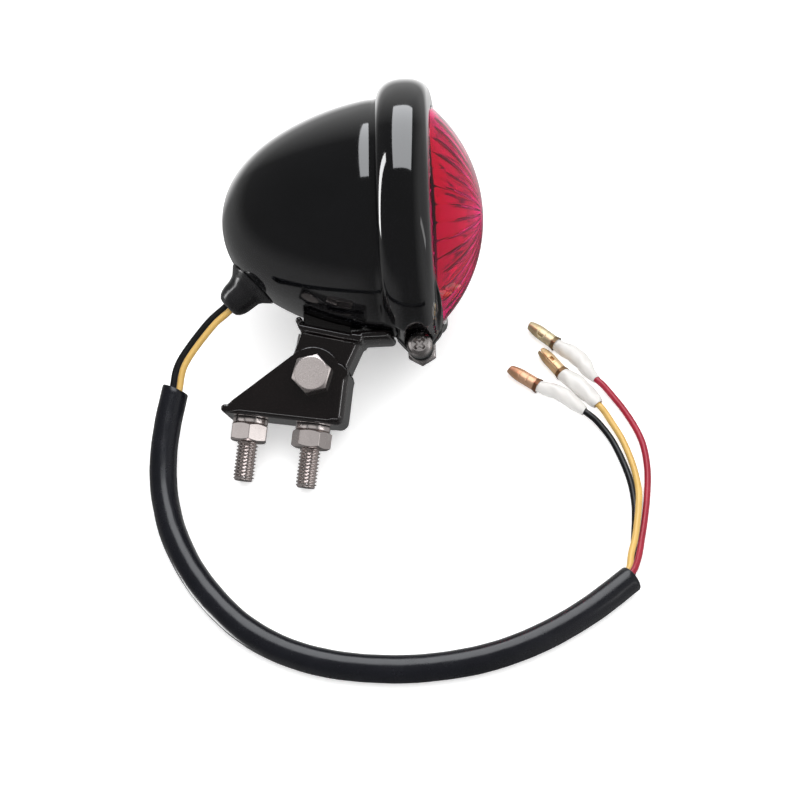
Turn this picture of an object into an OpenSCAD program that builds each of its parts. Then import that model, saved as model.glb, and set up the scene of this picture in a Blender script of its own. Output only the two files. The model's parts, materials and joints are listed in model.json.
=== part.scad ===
// Round tail lamp for a motorcycle: egg-shaped steel shell, rolled bezel with a clamp screw,
// red domed lens over an LED board, tilting two-part bracket with two M6 studs, and a short
// sheathed three-wire lead with bullet plugs. All sizes are millimetres.
// The lamp is built about its own optical axis (x towards the lens, z towards its top,
// origin in the middle of the lens rim) and is then laid on its side on the surface z = 0,
// resting on the bezel, both stud tips and the lead.

/* [Shell] */
// Outer radius of the shell behind the bezel
shell_r = 34.1; // [34:0.05:34.15]
// Length of the rounded tail of the shell
shell_len = 46.3; // [45.5:0.1:47]
// Thickness of the shell
shell_wall = 1.5; // [1.2:0.1:1.6]

/* [Bezel] */
// Radius of the bezel's crown
bezel_r = 39.4; // [39.2:0.05:39.5]
// Rounding radius of the bezel's two outer corners
bezel_round = 5.5; // [5.3:0.1:5.6]
// Thickness of the rolled bezel
bezel_wall = 1.2; // [1:0.1:1.4]
// Slot between the two clamping ears
clamp_gap = 3.2; // [2.4:0.2:4]

/* [Lens] */
// Radius of the lens where it leaves the bezel
lens_r = 31; // [30.6:0.1:31]
// Height of the dome in front of its rim
lens_rise = 13.3; // [12:0.1:14]
// Thickness of the lens
lens_wall = 2.2; // [1.8:0.1:2.4]

/* [Bracket] */
// Width of the foot bracket over its two cheeks
foot_w = 19; // [19:0.5:20]
// Sheet thickness of both brackets
sheet = 2; // [1.8:0.1:2]
// Slope of the foot's base against the lamp's axis
foot_slope = 9; // [7:0.5:11]
// Radius of the foot's ears about the pivot
ear_r = 8.1; // [7.8:0.1:8.3]

/* [Studs] */
// Distance between the two mounting studs
stud_pitch = 18; // [17:0.5:19]
// Length of a stud from under its head
stud_len = 20; // [18:0.5:25]

/* [Lead] */
// Outer diameter of the sheath
sheath_d = 7.8; // [7.6:0.1:8]
// Diameter of each wire
wire_d = 1.9; // [1.8:0.1:1.9]
// Number of sides on a wire
wire_sides = 8; // [6:1:8]
// Diameter of a bullet plug
bullet_d = 3.9; // [3.8:0.05:4]

/* [Lay] */
// Turn of the lamp about its own axis from lying flat on its side
lie_roll = 26.75; // [24:0.05:30]
// Rise of the lens end
lie_pitch = 4.08; // [3:0.02:5]

/* [Hidden] */

// place of the middle of the lens rim
lens_at = [24.55, 15.28, 40.01];

// stations along the lamp's axis
x_tail0 = -15.5;                 // start of the rounded tail
x_tail1 = x_tail0 - shell_len;   // end of the tail
x_rear = -15.2;                  // rear face of the bezel
x_groove0 = -14;                 // bezel groove, rear and front
x_groove1 = -1.4;
x_rim0 = -6.6;                   // rim of the shell, rear and front
x_rim1 = -5.4;
rim_r = 34.6;
groove_r = 35.2;

// pivot of the foot
piv = [-36.4, 0, -45.8];
half_w = foot_w / 2;
neck_w = foot_w / 2 - sheet - 0.1;   // half width of the neck between the foot's cheeks
base_low = -13.2;                    // underside of the foot's base below the pivot
base_top = base_low + sheet;
web_out = 10.3;                      // outer face of the foot's front web
stud_u = 0.9;                        // front stud ahead of the pivot
nut_low = base_low - 1.6 - 5.2;      // lower face of the nuts, under their washers
thread_mean = 2.7;                   // mean radius of an M6 thread, where bolt and nut engage

// clamp screw axis
clamp_x = -6.1;
clamp_z = -38;
ear_y = 4.6;                         // outer face of each clamping ear

// ---------- small helpers ----------
function unit(v) = v / norm(v);
function hex_r(af) = af / 2 / cos(30);

// lays the lamp on its side
module lay() {
  translate(lens_at) rotate([0, -lie_pitch, 0]) rotate([-(90 - lie_roll), 0, 0]) children();
}
// a profile of [radius, x] turned about the lamp's axis
module turn(fn = 96) rotate([0, 90, 0]) rotate_extrude($fn = fn) children();
// a side view [x, z] given a width across the lamp
module across(w) rotate([90, 0, 0]) linear_extrude(height = w, center = true) children();
// a round bar across the lamp
module cross_bar(x, z, y0, y1, r, fn = 48)
  translate([x, y0, z]) rotate([-90, 0, 0]) cylinder(r = r, h = y1 - y0, $fn = fn);
// a hexagonal bar across the lamp, one corner at angle a
module cross_hex(x, z, y0, y1, af, a = 0)
  translate([x, y0, z]) rotate([-90, 0, 0]) rotate([0, 0, a]) cylinder(r = hex_r(af), h = y1 - y0, $fn = 6);

// the foot's own frame: u along its base, w square to it
module foot_frame() translate(piv) rotate([0, foot_slope, 0]) children();
// the saddle's own frame at a distance along its top face
saddle_slope = 13.9;
saddle_o = [-38.3, 0, -31.1];
tongue_r = shell_r + 0.3;            // the tongue is curved to the shell
tongue_t = 2.6;
module on_saddle(s) translate(saddle_o) rotate([0, saddle_slope, 0]) translate([s, 0, 0]) children();

// ---------- shell ----------
function tail(u) = sqrt(max(0, 1 - pow(u, 1.6 + 0.32 * u * u * u)));
function tail_pts(r, l, n) = [for (i = [0:n]) let (u = sin(90 * i / n)) [r * tail(u), x_tail0 - l * u]];
function rev(l) = [for (i = [len(l) - 1:-1:0]) l[i]];

module shell_outside(grow = 0)
  turn() polygon(concat([[0, x_rim0], [shell_r + grow, x_rim0]], tail_pts(shell_r + grow, shell_len + grow, 30)));

// boot seat: a point on the underside of the tail and its outward angle
boot_u = 0.836;
boot_x = x_tail0 - shell_len * boot_u;
boot_r = shell_r * tail(boot_u);
boot_rake = atan2(shell_r * (tail(boot_u - 0.01) - tail(boot_u + 0.01)), shell_len * 0.02);
boot_tilt = boot_rake + 3.5;   // the boot leans back a little
module boot_frame() translate([boot_x, 0, -boot_r]) rotate([0, -(180 - boot_tilt), 0]) children();

screw_s = [1.6, 9.4];   // saddle screws along the saddle

module housing() {
  color("#1a1a1c") lay() difference() {
    turn() polygon(concat(
      [[rim_r, x_rim1], [rim_r, x_rim0]],
      [[shell_r, x_rim0]], tail_pts(shell_r, shell_len, 30),
      rev(tail_pts(shell_r - shell_wall, shell_len - shell_wall, 30)),
      [[shell_r - shell_wall, x_rim1]]));
    for (s = screw_s) on_saddle(s) translate([0, 0, -4]) cylinder(r = 2.2, h = 12, $fn = 32);
    boot_frame() translate([0, 0, -6]) cylinder(r = 4.6, h = 10, $fn = 48);
    // relief in the rim over the clamp nut
    cross_bar(clamp_x, clamp_z, ear_y - 0.3, ear_y + 3.6, 4.75);
  }
}

// ---------- bezel ----------
function corner(cr, cx, r, a0, a1, n) =
  [for (i = [0:n]) let (a = a0 + (a1 - a0) * i / n) [cr + r * cos(a), cx + r * sin(a)]];
corner_r = bezel_r - bezel_round;
corner_x0 = x_rear + bezel_round;
corner_x1 = -0.2 - bezel_round;
inner_round = bezel_round - bezel_wall;

module bezel_outline() polygon(concat(
  [[lens_r + 0.05, x_groove1], [lens_r + 0.05, -0.5], [lens_r + 0.4, -0.2]],
  rev(corner(corner_r, corner_x1, bezel_round, 0, 90, 12)),
  corner(corner_r, corner_x0, bezel_round, 0, -85, 12),
  [[shell_r + 0.2, x_rear + 0.03], [shell_r + 0.2, x_groove0], [groove_r, x_groove0], [groove_r, x_groove1]]));

module bezel_hollow() polygon(concat(
  [[groove_r - 0.2, x_groove1]],
  rev(corner(corner_r, corner_x1, inner_round, 0, 70, 8)),
  corner(corner_r, corner_x0, inner_round, 0, -70, 8),
  [[groove_r - 0.2, x_groove0]]));

module ear_side() {
  translate([clamp_x, clamp_z]) circle(r = 3.6, $fn = 48);
  polygon([[-12.8, -33.6], [-12.8, -35.25], [clamp_x - 2.72, clamp_z - 2.12], [clamp_x, clamp_z], [clamp_x + 3.4, clamp_z + 0.75],
           [-1.4, -35.5], [-0.3, -33.6]]);
}

module bezel() {
  color("#1a1a1c") lay() difference() {
    union() {
      difference() {
        turn() bezel_outline();
        // the band is hollow except next to the clamp
        difference() {
          turn() bezel_hollow();
          translate([-20, -23, -50]) cube([24, 46, 40]);
        }
        // its rear edge stands back over the saddle and narrows towards the ears
        translate([-16, -21, -50]) cube([3.1, 42, 26]);
        intersection() {
          turn() {
            polygon([[34.8, -13.1], [38.7, -9.4], [45, -9.4], [45, -16], [34.8, -16]]);
            polygon([[34.2, -0.3], [39, -4.8], [45, -4.8], [45, 2], [34.2, 2]]);
          }
          translate([-20, -19, -50]) cube([24, 38, 26]);
        }
      }
      // its front edge flares towards the ears
      intersection() {
        across(48) polygon([[-1.35, -20], [-0.2, -21.5], [1.1, -27], [1.2, -29.5], [0.4, -32.4], [-0.4, -34], [-1.35, -34.8]]);
        turn() polygon([[lens_r + 0.05, -1.35], [lens_r + 0.05, 3], [34.1, 3], [34.1, -1.35]]);
      }
      difference() {
        across(2 * ear_y) ear_side();
        turn() polygon([[0, x_groove0], [groove_r, x_groove0], [groove_r, x_groove1], [0, x_groove1]]);
      }
    }
    // slot, screw hole, pockets for the screw head and the nut
    translate([-20, -clamp_gap / 2, -60]) cube([24, clamp_gap, 40]);
    cross_bar(clamp_x, clamp_z, -20, 20, 2.15, 32);
    cross_bar(clamp_x, clamp_z, -24, -ear_y, 4.1);
    cross_bar(clamp_x, clamp_z, ear_y, 24, 5.05);
  }
}

module clamp_screw() {
  color("#c9c9c6") lay() difference() {
    union() {
      cross_bar(clamp_x, clamp_z, -ear_y, 9.4, 2, 32);
      translate([clamp_x, -ear_y, clamp_z]) rotate([90, 0, 0]) rotate_extrude($fn = 48)
        polygon([[0, 0], [3.6, 0], [3.6, 1.5], [3.1, 2.2], [2.1, 2.6], [0, 2.7]]);
    }
    for (a = [45, 135]) translate([clamp_x, -ear_y - 2.7, clamp_z]) rotate([0, a, 0])
      translate([-1.9, -1, -0.4]) cube([3.8, 2.4, 0.8]);
  }
}

module clamp_nut() {
  color("#c9c9c6") lay() difference() {
    cross_hex(clamp_x, clamp_z, ear_y, ear_y + 3.2, 7.8, 30);
    cross_bar(clamp_x, clamp_z, ear_y - 1, ear_y + 5, 2.03, 32);
  }
}

// ---------- lens, gasket, reflector, board ----------
dome_r = (lens_r * lens_r + lens_rise * lens_rise) / (2 * lens_rise);
dome_x = lens_rise - dome_r;
function dome(r, y_from, n) = let (a1 = asin(y_from / r))
  [for (i = [0:n]) let (a = a1 * (1 - i / n)) [r * sin(a), dome_x + r * cos(a)]];

module lens() {
  color([0.75, 0.02, 0.06, 0.75]) lay() turn() polygon(concat(
    [[34.4, -3.4], [34.4, -1.5], [lens_r - 0.05, -1.5]],
    dome(dome_r, lens_r - 0.05, 20), rev(dome(dome_r - lens_wall, 28.8, 20)), [[28.8, -3.4]]));
}

module lens_gasket() {
  color("#101010") lay() turn() polygon([[31.4, -4.6], [34.4, -4.6], [34.4, -3.4], [31.4, -3.4]]);
}

// rings of lights: number and radius
led_rings = [[1, 0], [6, 9], [12, 18]];
module each_led() for (g = led_rings) for (i = [0:g[0] - 1])
  rotate([360 * i / g[0] + 15, 0, 0]) translate([0, 0, g[1]]) children();
module each_post() for (i = [0:2]) rotate([120 * i + 60, 0, 0]) translate([0, 0, 23]) children();

module reflector() {
  color("#d8d8dc") lay() difference() {
    union() {
      turn() polygon([[34.2, -4.6], [34.2, -5.4], [30.6, -5.4], [26, -14], [0, -14], [0, -12.5], [25, -12.5], [29.6, -4.6]]);
      each_post() translate([-15.5, 0, 0]) rotate([0, 90, 0]) cylinder(r = 2.4, h = 2, $fn = 32);
    }
    each_led() translate([-15, 0, 0]) rotate([0, 90, 0]) cylinder(r = 2.7, h = 4, $fn = 32);
    each_post() translate([-16, 0, 0]) rotate([0, 90, 0]) cylinder(r = 1.27, h = 2.9, $fn = 24);
  }
}

module led_board() {
  color("#1f5a32") lay() difference() {
    translate([-17.1, 0, 0]) rotate([0, 90, 0]) cylinder(r = 27, h = 1.6, $fn = 96);
    each_post() translate([-18, 0, 0]) rotate([0, 90, 0]) cylinder(r = 1.4, h = 3, $fn = 24);
  }
}

module leds() {
  color("#e8d8d8") lay() each_led() translate([-15.5, 0, 0]) rotate([0, 90, 0]) rotate_extrude($fn = 32)
    polygon(concat([[0, 0], [2.9, 0], [2.9, 1], [2.5, 1]],
      [for (i = [0:8]) [2.5 * cos(90 * i / 8), 6.1 + 2.5 * sin(90 * i / 8)]]));
}

module resistors() {
  color("#c8a878") lay() for (i = [-1.5:1:1.5])
    translate([-18.3, -3.2, 8 + 3.6 * i]) rotate([-90, 0, 0]) cylinder(r = 1.2, h = 6.4, $fn = 24);
}

module board_screws() {
  color("#b8b8b8") lay() each_post() translate([-17.1, 0, 0]) {
    rotate([0, 90, 0]) cylinder(r = 1.23, h = 3.8, $fn = 24);
    translate([-1.6, 0, 0]) rotate([0, 90, 0]) cylinder(r = 2.2, h = 1.6, $fn = 32);
  }
}

// ---------- brackets ----------
// side view of the saddle: sloping plate with its rear edge turned up
module saddle_side() {
  polygon([[-39.3, -30.87], [-23, -34.9], [-22.2, -35.3], [-22.2, -37.2], [-38.6, -33.15], [-40, -32.2], [-40.9, -29.8]]);
  translate([-39.9, -29.8]) circle(r = 1, $fn = 24);
}
// outline of the tongue seen from above
module tongue_plan() {
  translate([-25, -8.3]) square([9, 16.6]);
  for (s = [-1, 1]) translate([-16, 5.7 * s]) circle(r = 2.6, $fn = 32);
  translate([-16.5, -5.7]) square([3.1, 11.4]);
}

module bracket_pad() {
  color("#121212") lay() difference() {
    across(13) polygon([[-38.8, -22], [-25.4, -22], [-25.4, -34.28], [-38.8, -30.96]]);
    shell_outside(0.05);
    for (s = screw_s) on_saddle(s) translate([0, 0, -2]) cylinder(r = 2.4, h = 12, $fn = 32);
  }
}

module neck_cheek() {
  translate([piv[0], piv[2]]) circle(r = 7.6, $fn = 96);
  polygon([[-38.9, -31.6], [-22.5, -35.6], [-22.1, -36.3], [-26.35, -44.7], [-36.4, -44.7],
           [-36.4, -46], [piv[0] - 7.5, piv[2] + 1.2]]);
}

module upper_bracket() {
  color("#1a1a1c") lay() difference() {
    union() {
      across(17) saddle_side();
      intersection() {
        turn() polygon([[tongue_r, -25], [tongue_r + tongue_t, -25], [tongue_r + tongue_t, -14.4], [tongue_r + tongue_t - 0.8, -13.4],
          [tongue_r + 0.6, -13.4], [tongue_r, -14]]);
        translate([0, 0, -60]) linear_extrude(height = 40) tongue_plan();
      }
      difference() {
        across(2 * neck_w) neck_cheek();
        // open between the cheeks, behind the front web
        across(2 * (neck_w - sheet)) polygon([[-50, -31], [-41.7, -32.4], [-24.9, -36.5], [-25, -37],
          [-28.6, -44], [-28.6, -60], [-50, -60]]);
      }
    }
    cross_bar(piv[0], piv[2], -12, 12, 3.06, 64);
    for (s = screw_s) on_saddle(s) translate([0, 0, -6]) cylinder(r = 2.2, h = 8, $fn = 32);
  }
}

module saddle_screws() {
  color("#b8b8b8") lay() for (s = screw_s) on_saddle(s) {
    translate([0, 0, -7.1]) cylinder(r = 2, h = 12, $fn = 32);
    translate([0, 0, 4.9]) cylinder(r = 3.8, h = 2.6, $fn = 48);
  }
}

module saddle_nuts() {
  color("#b8b8b8") lay() for (s = screw_s) on_saddle(s) difference() {
    translate([0, 0, -5.4]) rotate([0, 0, 30]) cylinder(r = hex_r(7), h = 3.2, $fn = 6);
    translate([0, 0, -8]) cylinder(r = 2.03, h = 8, $fn = 32);
  }
}

module foot_cheek() {
  circle(r = ear_r, $fn = 96);
  d = sqrt(21.9 * 21.9 + 9.7 * 9.7);
  t = atan2(9.7, 21.9) + asin(ear_r / d);
  polygon(concat([[0, 0], [-(ear_r - 0.12) * sin(t), (ear_r - 0.12) * cos(t)], [-21.9, -9.7], [-22.9, -10.9], [-23.5, -11.3], [-23.5, base_low]],
    [for (i = [0:8]) [web_out - 2.5 + 2.5 * sin(90 * i / 8), base_low + 2.5 - 2.5 * cos(90 * i / 8)]],
    [[web_out, 1.5], [ear_r - 0.2, 1.5]]));
}

module foot_bracket() {
  color("#1a1a1c") lay() foot_frame() difference() {
    union() {
      difference() {
        across(2 * half_w) foot_cheek();
        across(2 * (half_w - sheet)) polygon([[-30, 20], [-30, base_top], [web_out - sheet - 1, base_top],
          [web_out - sheet, base_top + 1], [web_out - sheet, 20]]);
      }
      // rolled rear edge of the base
      cross_bar(-23.65, base_low + 1.2, -half_w, half_w, 1.1, 32);
    }
    cross_bar(0, 0, -12, 12, 3.15, 64);
    for (i = [0, 1]) translate([stud_u - i * stud_pitch, 0, base_low - 1]) cylinder(r = 3.15, h = 5, $fn = 48);
  }
}

module pivot_bolt() {
  color("#d2d2d0") lay() foot_frame() {
    cross_hex(0, 0, -half_w - 4, -half_w, 10, -20);
    cross_bar(0, 0, -half_w, 25 - half_w, 3, 64);
  }
}

module pivot_nut() {
  color("#c9c9c6") lay() foot_frame() difference() {
    cross_hex(0, 0, half_w, half_w + 5, 10, 10);
    cross_bar(0, 0, half_w - 1, half_w + 6, 3.04, 64);
  }
}

module mounting_bolts() {
  color("#c9c9c6") lay() foot_frame() for (i = [0, 1]) translate([stud_u - i * stud_pitch, 0, 0]) {
    translate([0, 0, base_top]) rotate([0, 0, 30]) cylinder(r = hex_r(10), h = 2.8, $fn = 6);
    translate([0, 0, nut_low - 1]) cylinder(r = thread_mean, h = base_top - nut_low + 1.5, $fn = 64);
    // the free end at the thread's outer diameter
    translate([0, 0, base_top - stud_len]) cylinder(r = 3, h = stud_len - (base_top - nut_low) - 0.3, $fn = 64);
  }
}

module mounting_washers() {
  color("#d2d2d0") lay() foot_frame() for (i = [0, 1]) translate([stud_u - i * stud_pitch, 0, base_low - 1.6])
    difference() {
      cylinder(r = 5, h = 1.6, $fn = 64);
      translate([0, 0, -1]) cylinder(r = 3.2, h = 4, $fn = 48);
    }
}

module mounting_nuts() {
  color("#d2d2d0") lay() foot_frame() for (i = [0, 1]) translate([stud_u - i * stud_pitch, 0, nut_low])
    difference() {
      rotate([0, 0, i == 0 ? -2 : 37]) cylinder(r = hex_r(10), h = 5.2, $fn = 6);
      translate([0, 0, -1]) cylinder(r = thread_mean + 0.04, h = 8, $fn = 64);
    }
}

// ---------- lead ----------
nose = 9.4;   // outer end of the boot beyond its seat

module cable_boot() {
  color("#161616") lay() difference() {
    boot_frame() rotate_extrude($fn = 64) polygon([[0, -4.8], [5.6, -4.8], [5.6, -3], [4.5, -2.9], [4.5, -2.6],
      [7.9, -2.8], [7.95, -1.2], [5.45, 1.5], [5.3, 2.8], [5.1, 4.3], [4.95, 5.7], [4.65, 6.9], [4.15, 8.2],
      [3.5, 9.1], [3, nose], [0, nose]]);
    // the flange follows the outside of the shell, the throat passes through it
    difference() {
      shell_outside(0.02);
      boot_frame() translate([0, 0, -8]) cylinder(r = 4.5, h = 20, $fn = 64);
      shell_outside(-2.9);
    }
  }
}

// a point of the lamp's frame on the surface's frame
function turn_x(v, a) = [v[0], v[1] * cos(a) - v[2] * sin(a), v[1] * sin(a) + v[2] * cos(a)];
function turn_y(v, a) = [v[0] * cos(a) + v[2] * sin(a), v[1], -v[0] * sin(a) + v[2] * cos(a)];
function laid(v) = turn_y(turn_x(v, -(90 - lie_roll)), -lie_pitch);
boot_dir = [-sin(boot_tilt), 0, -cos(boot_tilt)];
out_dir = laid(boot_dir);
out_at = lens_at + laid([boot_x, 0, -boot_r] + nose * boot_dir);

// smooth curve through knots: point and direction at every step
function cr_p(a, b, c, d, t) = 0.5 * ((2 * b) + (c - a) * t + (2 * a - 5 * b + 4 * c - d) * t * t
  + (3 * b - a - 3 * c + d) * t * t * t);
function cr_d(a, b, c, d, t) = unit((c - a) + 2 * (2 * a - 5 * b + 4 * c - d) * t
  + 3 * (3 * b - a - 3 * c + d) * t * t);
function knot(k, i) = i < 0 ? 2 * k[0] - k[1] : i >= len(k) ? 2 * k[len(k) - 1] - k[len(k) - 2] : k[i];
function curve(k, i0, i1, steps) = [for (j = [0:(i1 - i0) * steps]) let (q = min(i0 + floor(j / steps), i1 - 1),
  t = j / steps - (q - i0), a = knot(k, q - 1), b = knot(k, q), c = knot(k, q + 1), d = knot(k, q + 2))
  [cr_p(a, b, c, d, t), cr_d(a, b, c, d, t)]];
// side and up directions square to a direction
function side_of(d) = unit(cross(d, [0, 0, 1]));
function up_of(d) = cross(side_of(d), d);
// a curve moved sideways within its own cross-section
function moved(c, s, h) = [for (e = c) [e[0] + s * side_of(e[1]) + h * up_of(e[1]), e[1]]];

// a tube along a curve
module tube(c, r, n) {
  pts = [for (e = c) for (i = [0:n - 1]) e[0] + r * (cos(360 * i / n + 180 / n) * side_of(e[1])
    + sin(360 * i / n + 180 / n) * up_of(e[1]))];
  skin(pts, len(c), n);
}
// m rings of n points closed into a solid
module skin(pts, m, n) polyhedron(pts, concat([[for (i = [0:n - 1]) i]],
  [for (j = [0:m - 2]) for (i = [0:n - 1]) [j * n + i, (j + 1) * n + i, (j + 1) * n + (i + 1) % n, j * n + (i + 1) % n]],
  [[for (i = [n - 1:-1:0]) (m - 1) * n + i]]));

// from the boot, through the air, down to the surface and round to the free end
route = concat([out_at, out_at + 7 * out_dir],
  [[-48.7, -19.7, 17.5], [-50.5, -27.05, 14],
   [-52.45, -36.05, 10.8], [-53.5, -45.05, 7.8], [-53.3, -53.95, 5.4], [-51.9, -61.8, 4.2], [-49.5, -70, 3.95], [-44.45, -80.75, 3.95],
   [-37.85, -90.25, 3.95], [-29.4, -99, 3.95], [-19.2, -105.5, 3.95], [-7.65, -109.65, 3.95], [6.3, -111.65, 3.95], [20.3, -111.5, 3.95],
   [35.35, -108.95, 3.95], [49.9, -103.5, 3.95], [64.45, -94.75, 3.95], [77.3, -84.2, 3.95]]);
sheath_from = 3;
sheath_to = 19;
end_curve = curve(route, sheath_to - 1, sheath_to, 1);
end_at = end_curve[1][0];
end_dir = end_curve[1][1];
end_side = -side_of(end_dir);
function end_pt(s, h) = end_at + s * end_side + h * [0, 0, 1];

// each wire: place across the sheath's mouth, then its own way over the surface to its sleeve
off_black = [0.98, -0.6];
off_yellow = [-0.98, -0.6];
off_red = [0, -2.3];
way_black = concat([end_pt(1.2, -2), end_pt(1.2, -2) + 1.6 * end_dir], [[78.4, -77.5, 1.2], [79, -71, 1],
  [79.7, -63.5, 1], [79.9, -58, 1], [79.2, -51, 1], [77.3, -43.8, 1], [74.5, -36.4, 1], [70.7, -30.8, 1.8], [68.8, -29, 2.25],
  [67.1, -27.5, 2.25]]);
way_yellow = concat([end_pt(2.8, 0.3), end_pt(2.8, 0.3) + 1.6 * end_dir], [[77.6, -76.8, 4.2], [79.1, -71, 3.3],
  [80, -66, 3.1], [80.7, -61, 2.9], [81.2, -55.5, 2.3], [80.9, -50.5, 1.6], [80, -44.5, 1], [77.6, -36.5, 1], [74.3, -29.8, 1.4],
  [72.4, -26.7, 2.2], [71.1, -25.1, 2.25]]);
way_red = concat([end_pt(0.9, 1.2), end_pt(0.9, 1.2) + 1.6 * end_dir], [[79.8, -76.8, 3.5], [81, -70.8, 2.2],
  [82.3, -64, 1.2], [83.6, -55.3, 1], [84.2, -46, 1], [83.1, -36.7, 1], [79.4, -27.7, 1], [74.5, -20.4, 1.9], [72.6, -17.9, 2.25], [71.1, -16.4, 2.25]]);

module wire(off, way) {
  tube(moved(concat(curve(route, 0, 1, 1), curve(route, 1, sheath_from, 2)), off[0], off[1]), wire_d / 2, wire_sides);
  tube(curve(way, 0, len(way) - 1, 1), wire_d / 2, wire_sides);
}

module wire_black() color("#151515") wire(off_black, way_black);
module wire_yellow() color("#e8b830") wire(off_yellow, way_yellow);
module wire_red() color("#c01818") wire(off_red, way_red);
module sheath() color("#17181c") tube(curve(route, sheath_from, sheath_to, 1), sheath_d / 2, 12);

// leads inside the shell, from the board to the inner end of the boot
in_at = [boot_x, 0, -boot_r] - 4.8 * boot_dir;
function in_way(y, s, h) = [in_at + [0, s, 0] + h * [cos(boot_tilt), 0, -sin(boot_tilt)],
  in_at + [0, s, 0] + h * [cos(boot_tilt), 0, -sin(boot_tilt)] - 3.5 * boot_dir,
  [-38, 0.9 * y, -7 + h], [-25, y, -8 + h], [-19.6, y, -10], [-17.15, y, -10]];
module inner_leads() color("#a03028") lay() for (w = [[-3, -1.05, 0.6], [0, 0, -1.3], [3, 1.05, 0.6]])
  tube(curve(in_way(w[0], w[1], w[2]), 0, 5, 1), wire_d / 2, wire_sides);

// bullets: rear end and heading of each
plug_black = [54.2, -18.6, 143.3];
plug_yellow = [61.35, -14.3, 126];
plug_red = [59.9, -3.65, 137.3];
plug_z = 2.25;
// soft sleeves: stations of [x, y, half width] from the wire to the bullet
soft_black = [[67.1, -27.5, 1.35], [64.5, -24.95, 2], [62.1, -22.6, 2.3], [59.2, -20.5, 2.15], [56.4, -19.5, 2.05], [54.2, -18.6, 1.8]];
soft_yellow = [[71.1, -25.1, 1.65], [70, -23.5, 2.2], [67.9, -20.9, 2.65], [65.6, -18.2, 2.6], [63.3, -15.9, 2.45], [61.35, -14.3, 2.05]];
soft_red = [[71.1, -16.4, 1.2], [68.9, -13.4, 1.9], [67.2, -10.1, 2.4], [64.9, -7.4, 2.6], [62.2, -5.6, 2.15], [59.9, -3.65, 1.75]];

module along(p) translate([p[0], p[1], plug_z]) rotate([0, 0, p[2]]) rotate([0, 90, 0]) children();

// an oval sleeve, its last face square to the bullet
module sleeve(st, p, n = 20) {
  c = curve(st, 0, len(st) - 1, 2);
  m = len(c);
  pts = [for (j = [0:m - 1]) let (e = c[j], d = j == m - 1 ? [cos(p[2]), sin(p[2]), 0] : unit([e[1][0], e[1][1], 0]), w = e[0][2])
    for (i = [0:n - 1]) let (a = 360 * i / n + 180 / n)
      [e[0][0], e[0][1], plug_z] + w * cos(a) * side_of(d) + min(w, 2.2) * sin(a) * [0, 0, 1]];
  skin(pts, m, n);
}

module bullet(p) along(p) rotate_extrude($fn = 48)
  polygon([[0, 0], [2.2, 0], [2.2, 0.9], [bullet_d / 2, 1], [bullet_d / 2, 7.8], [1.5, 9.8], [1.15, 10.7], [0, 10.8]]);

module sleeve_black() color("#e6e4e2") sleeve(soft_black, plug_black);
module sleeve_yellow() color("#e6e4e2") sleeve(soft_yellow, plug_yellow);
module sleeve_red() color("#e6e4e2") sleeve(soft_red, plug_red);
module bullet_black() color("#b98a4a") bullet(plug_black);
module bullet_yellow() color("#b98a4a") bullet(plug_yellow);
module bullet_red() color("#b98a4a") bullet(plug_red);

housing();
bezel();
clamp_screw();
clamp_nut();
lens();
lens_gasket();
reflector();
led_board();
leds();
resistors();
board_screws();
inner_leads();
bracket_pad();
upper_bracket();
saddle_screws();
saddle_nuts();
foot_bracket();
pivot_bolt();
pivot_nut();
mounting_bolts();
mounting_washers();
mounting_nuts();
cable_boot();
wire_black();
wire_yellow();
wire_red();
sheath();
sleeve_black();
sleeve_yellow();
sleeve_red();
bullet_black();
bullet_yellow();
bullet_red();
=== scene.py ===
import json
import math

import bpy
import numpy as np
from mathutils import Matrix, Vector

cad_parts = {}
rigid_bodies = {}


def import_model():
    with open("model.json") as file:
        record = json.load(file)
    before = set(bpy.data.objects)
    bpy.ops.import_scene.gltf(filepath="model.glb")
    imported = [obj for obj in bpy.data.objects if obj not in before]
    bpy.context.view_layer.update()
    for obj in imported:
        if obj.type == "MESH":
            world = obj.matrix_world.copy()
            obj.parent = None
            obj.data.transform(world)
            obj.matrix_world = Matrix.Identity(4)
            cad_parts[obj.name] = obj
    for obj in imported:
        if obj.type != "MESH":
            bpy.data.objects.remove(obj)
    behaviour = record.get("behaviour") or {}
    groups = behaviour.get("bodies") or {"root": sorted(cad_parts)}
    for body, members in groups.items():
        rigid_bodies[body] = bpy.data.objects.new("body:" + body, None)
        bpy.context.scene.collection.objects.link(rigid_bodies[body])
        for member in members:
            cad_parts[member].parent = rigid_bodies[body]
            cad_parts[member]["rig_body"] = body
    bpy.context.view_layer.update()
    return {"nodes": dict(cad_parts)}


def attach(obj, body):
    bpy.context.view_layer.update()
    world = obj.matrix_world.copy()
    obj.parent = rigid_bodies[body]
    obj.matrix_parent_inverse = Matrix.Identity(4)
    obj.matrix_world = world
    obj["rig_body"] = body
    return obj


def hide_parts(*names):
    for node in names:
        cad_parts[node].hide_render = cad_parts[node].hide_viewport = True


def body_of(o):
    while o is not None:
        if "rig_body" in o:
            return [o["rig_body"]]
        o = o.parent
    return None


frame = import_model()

scene = bpy.context.scene
nodes = frame["nodes"]
HEAD = body_of(nodes["housing"])[0]
FOOT = body_of(nodes["foot_bracket"])[0]
sin, cos, pi = math.sin, math.cos, math.pi


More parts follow.
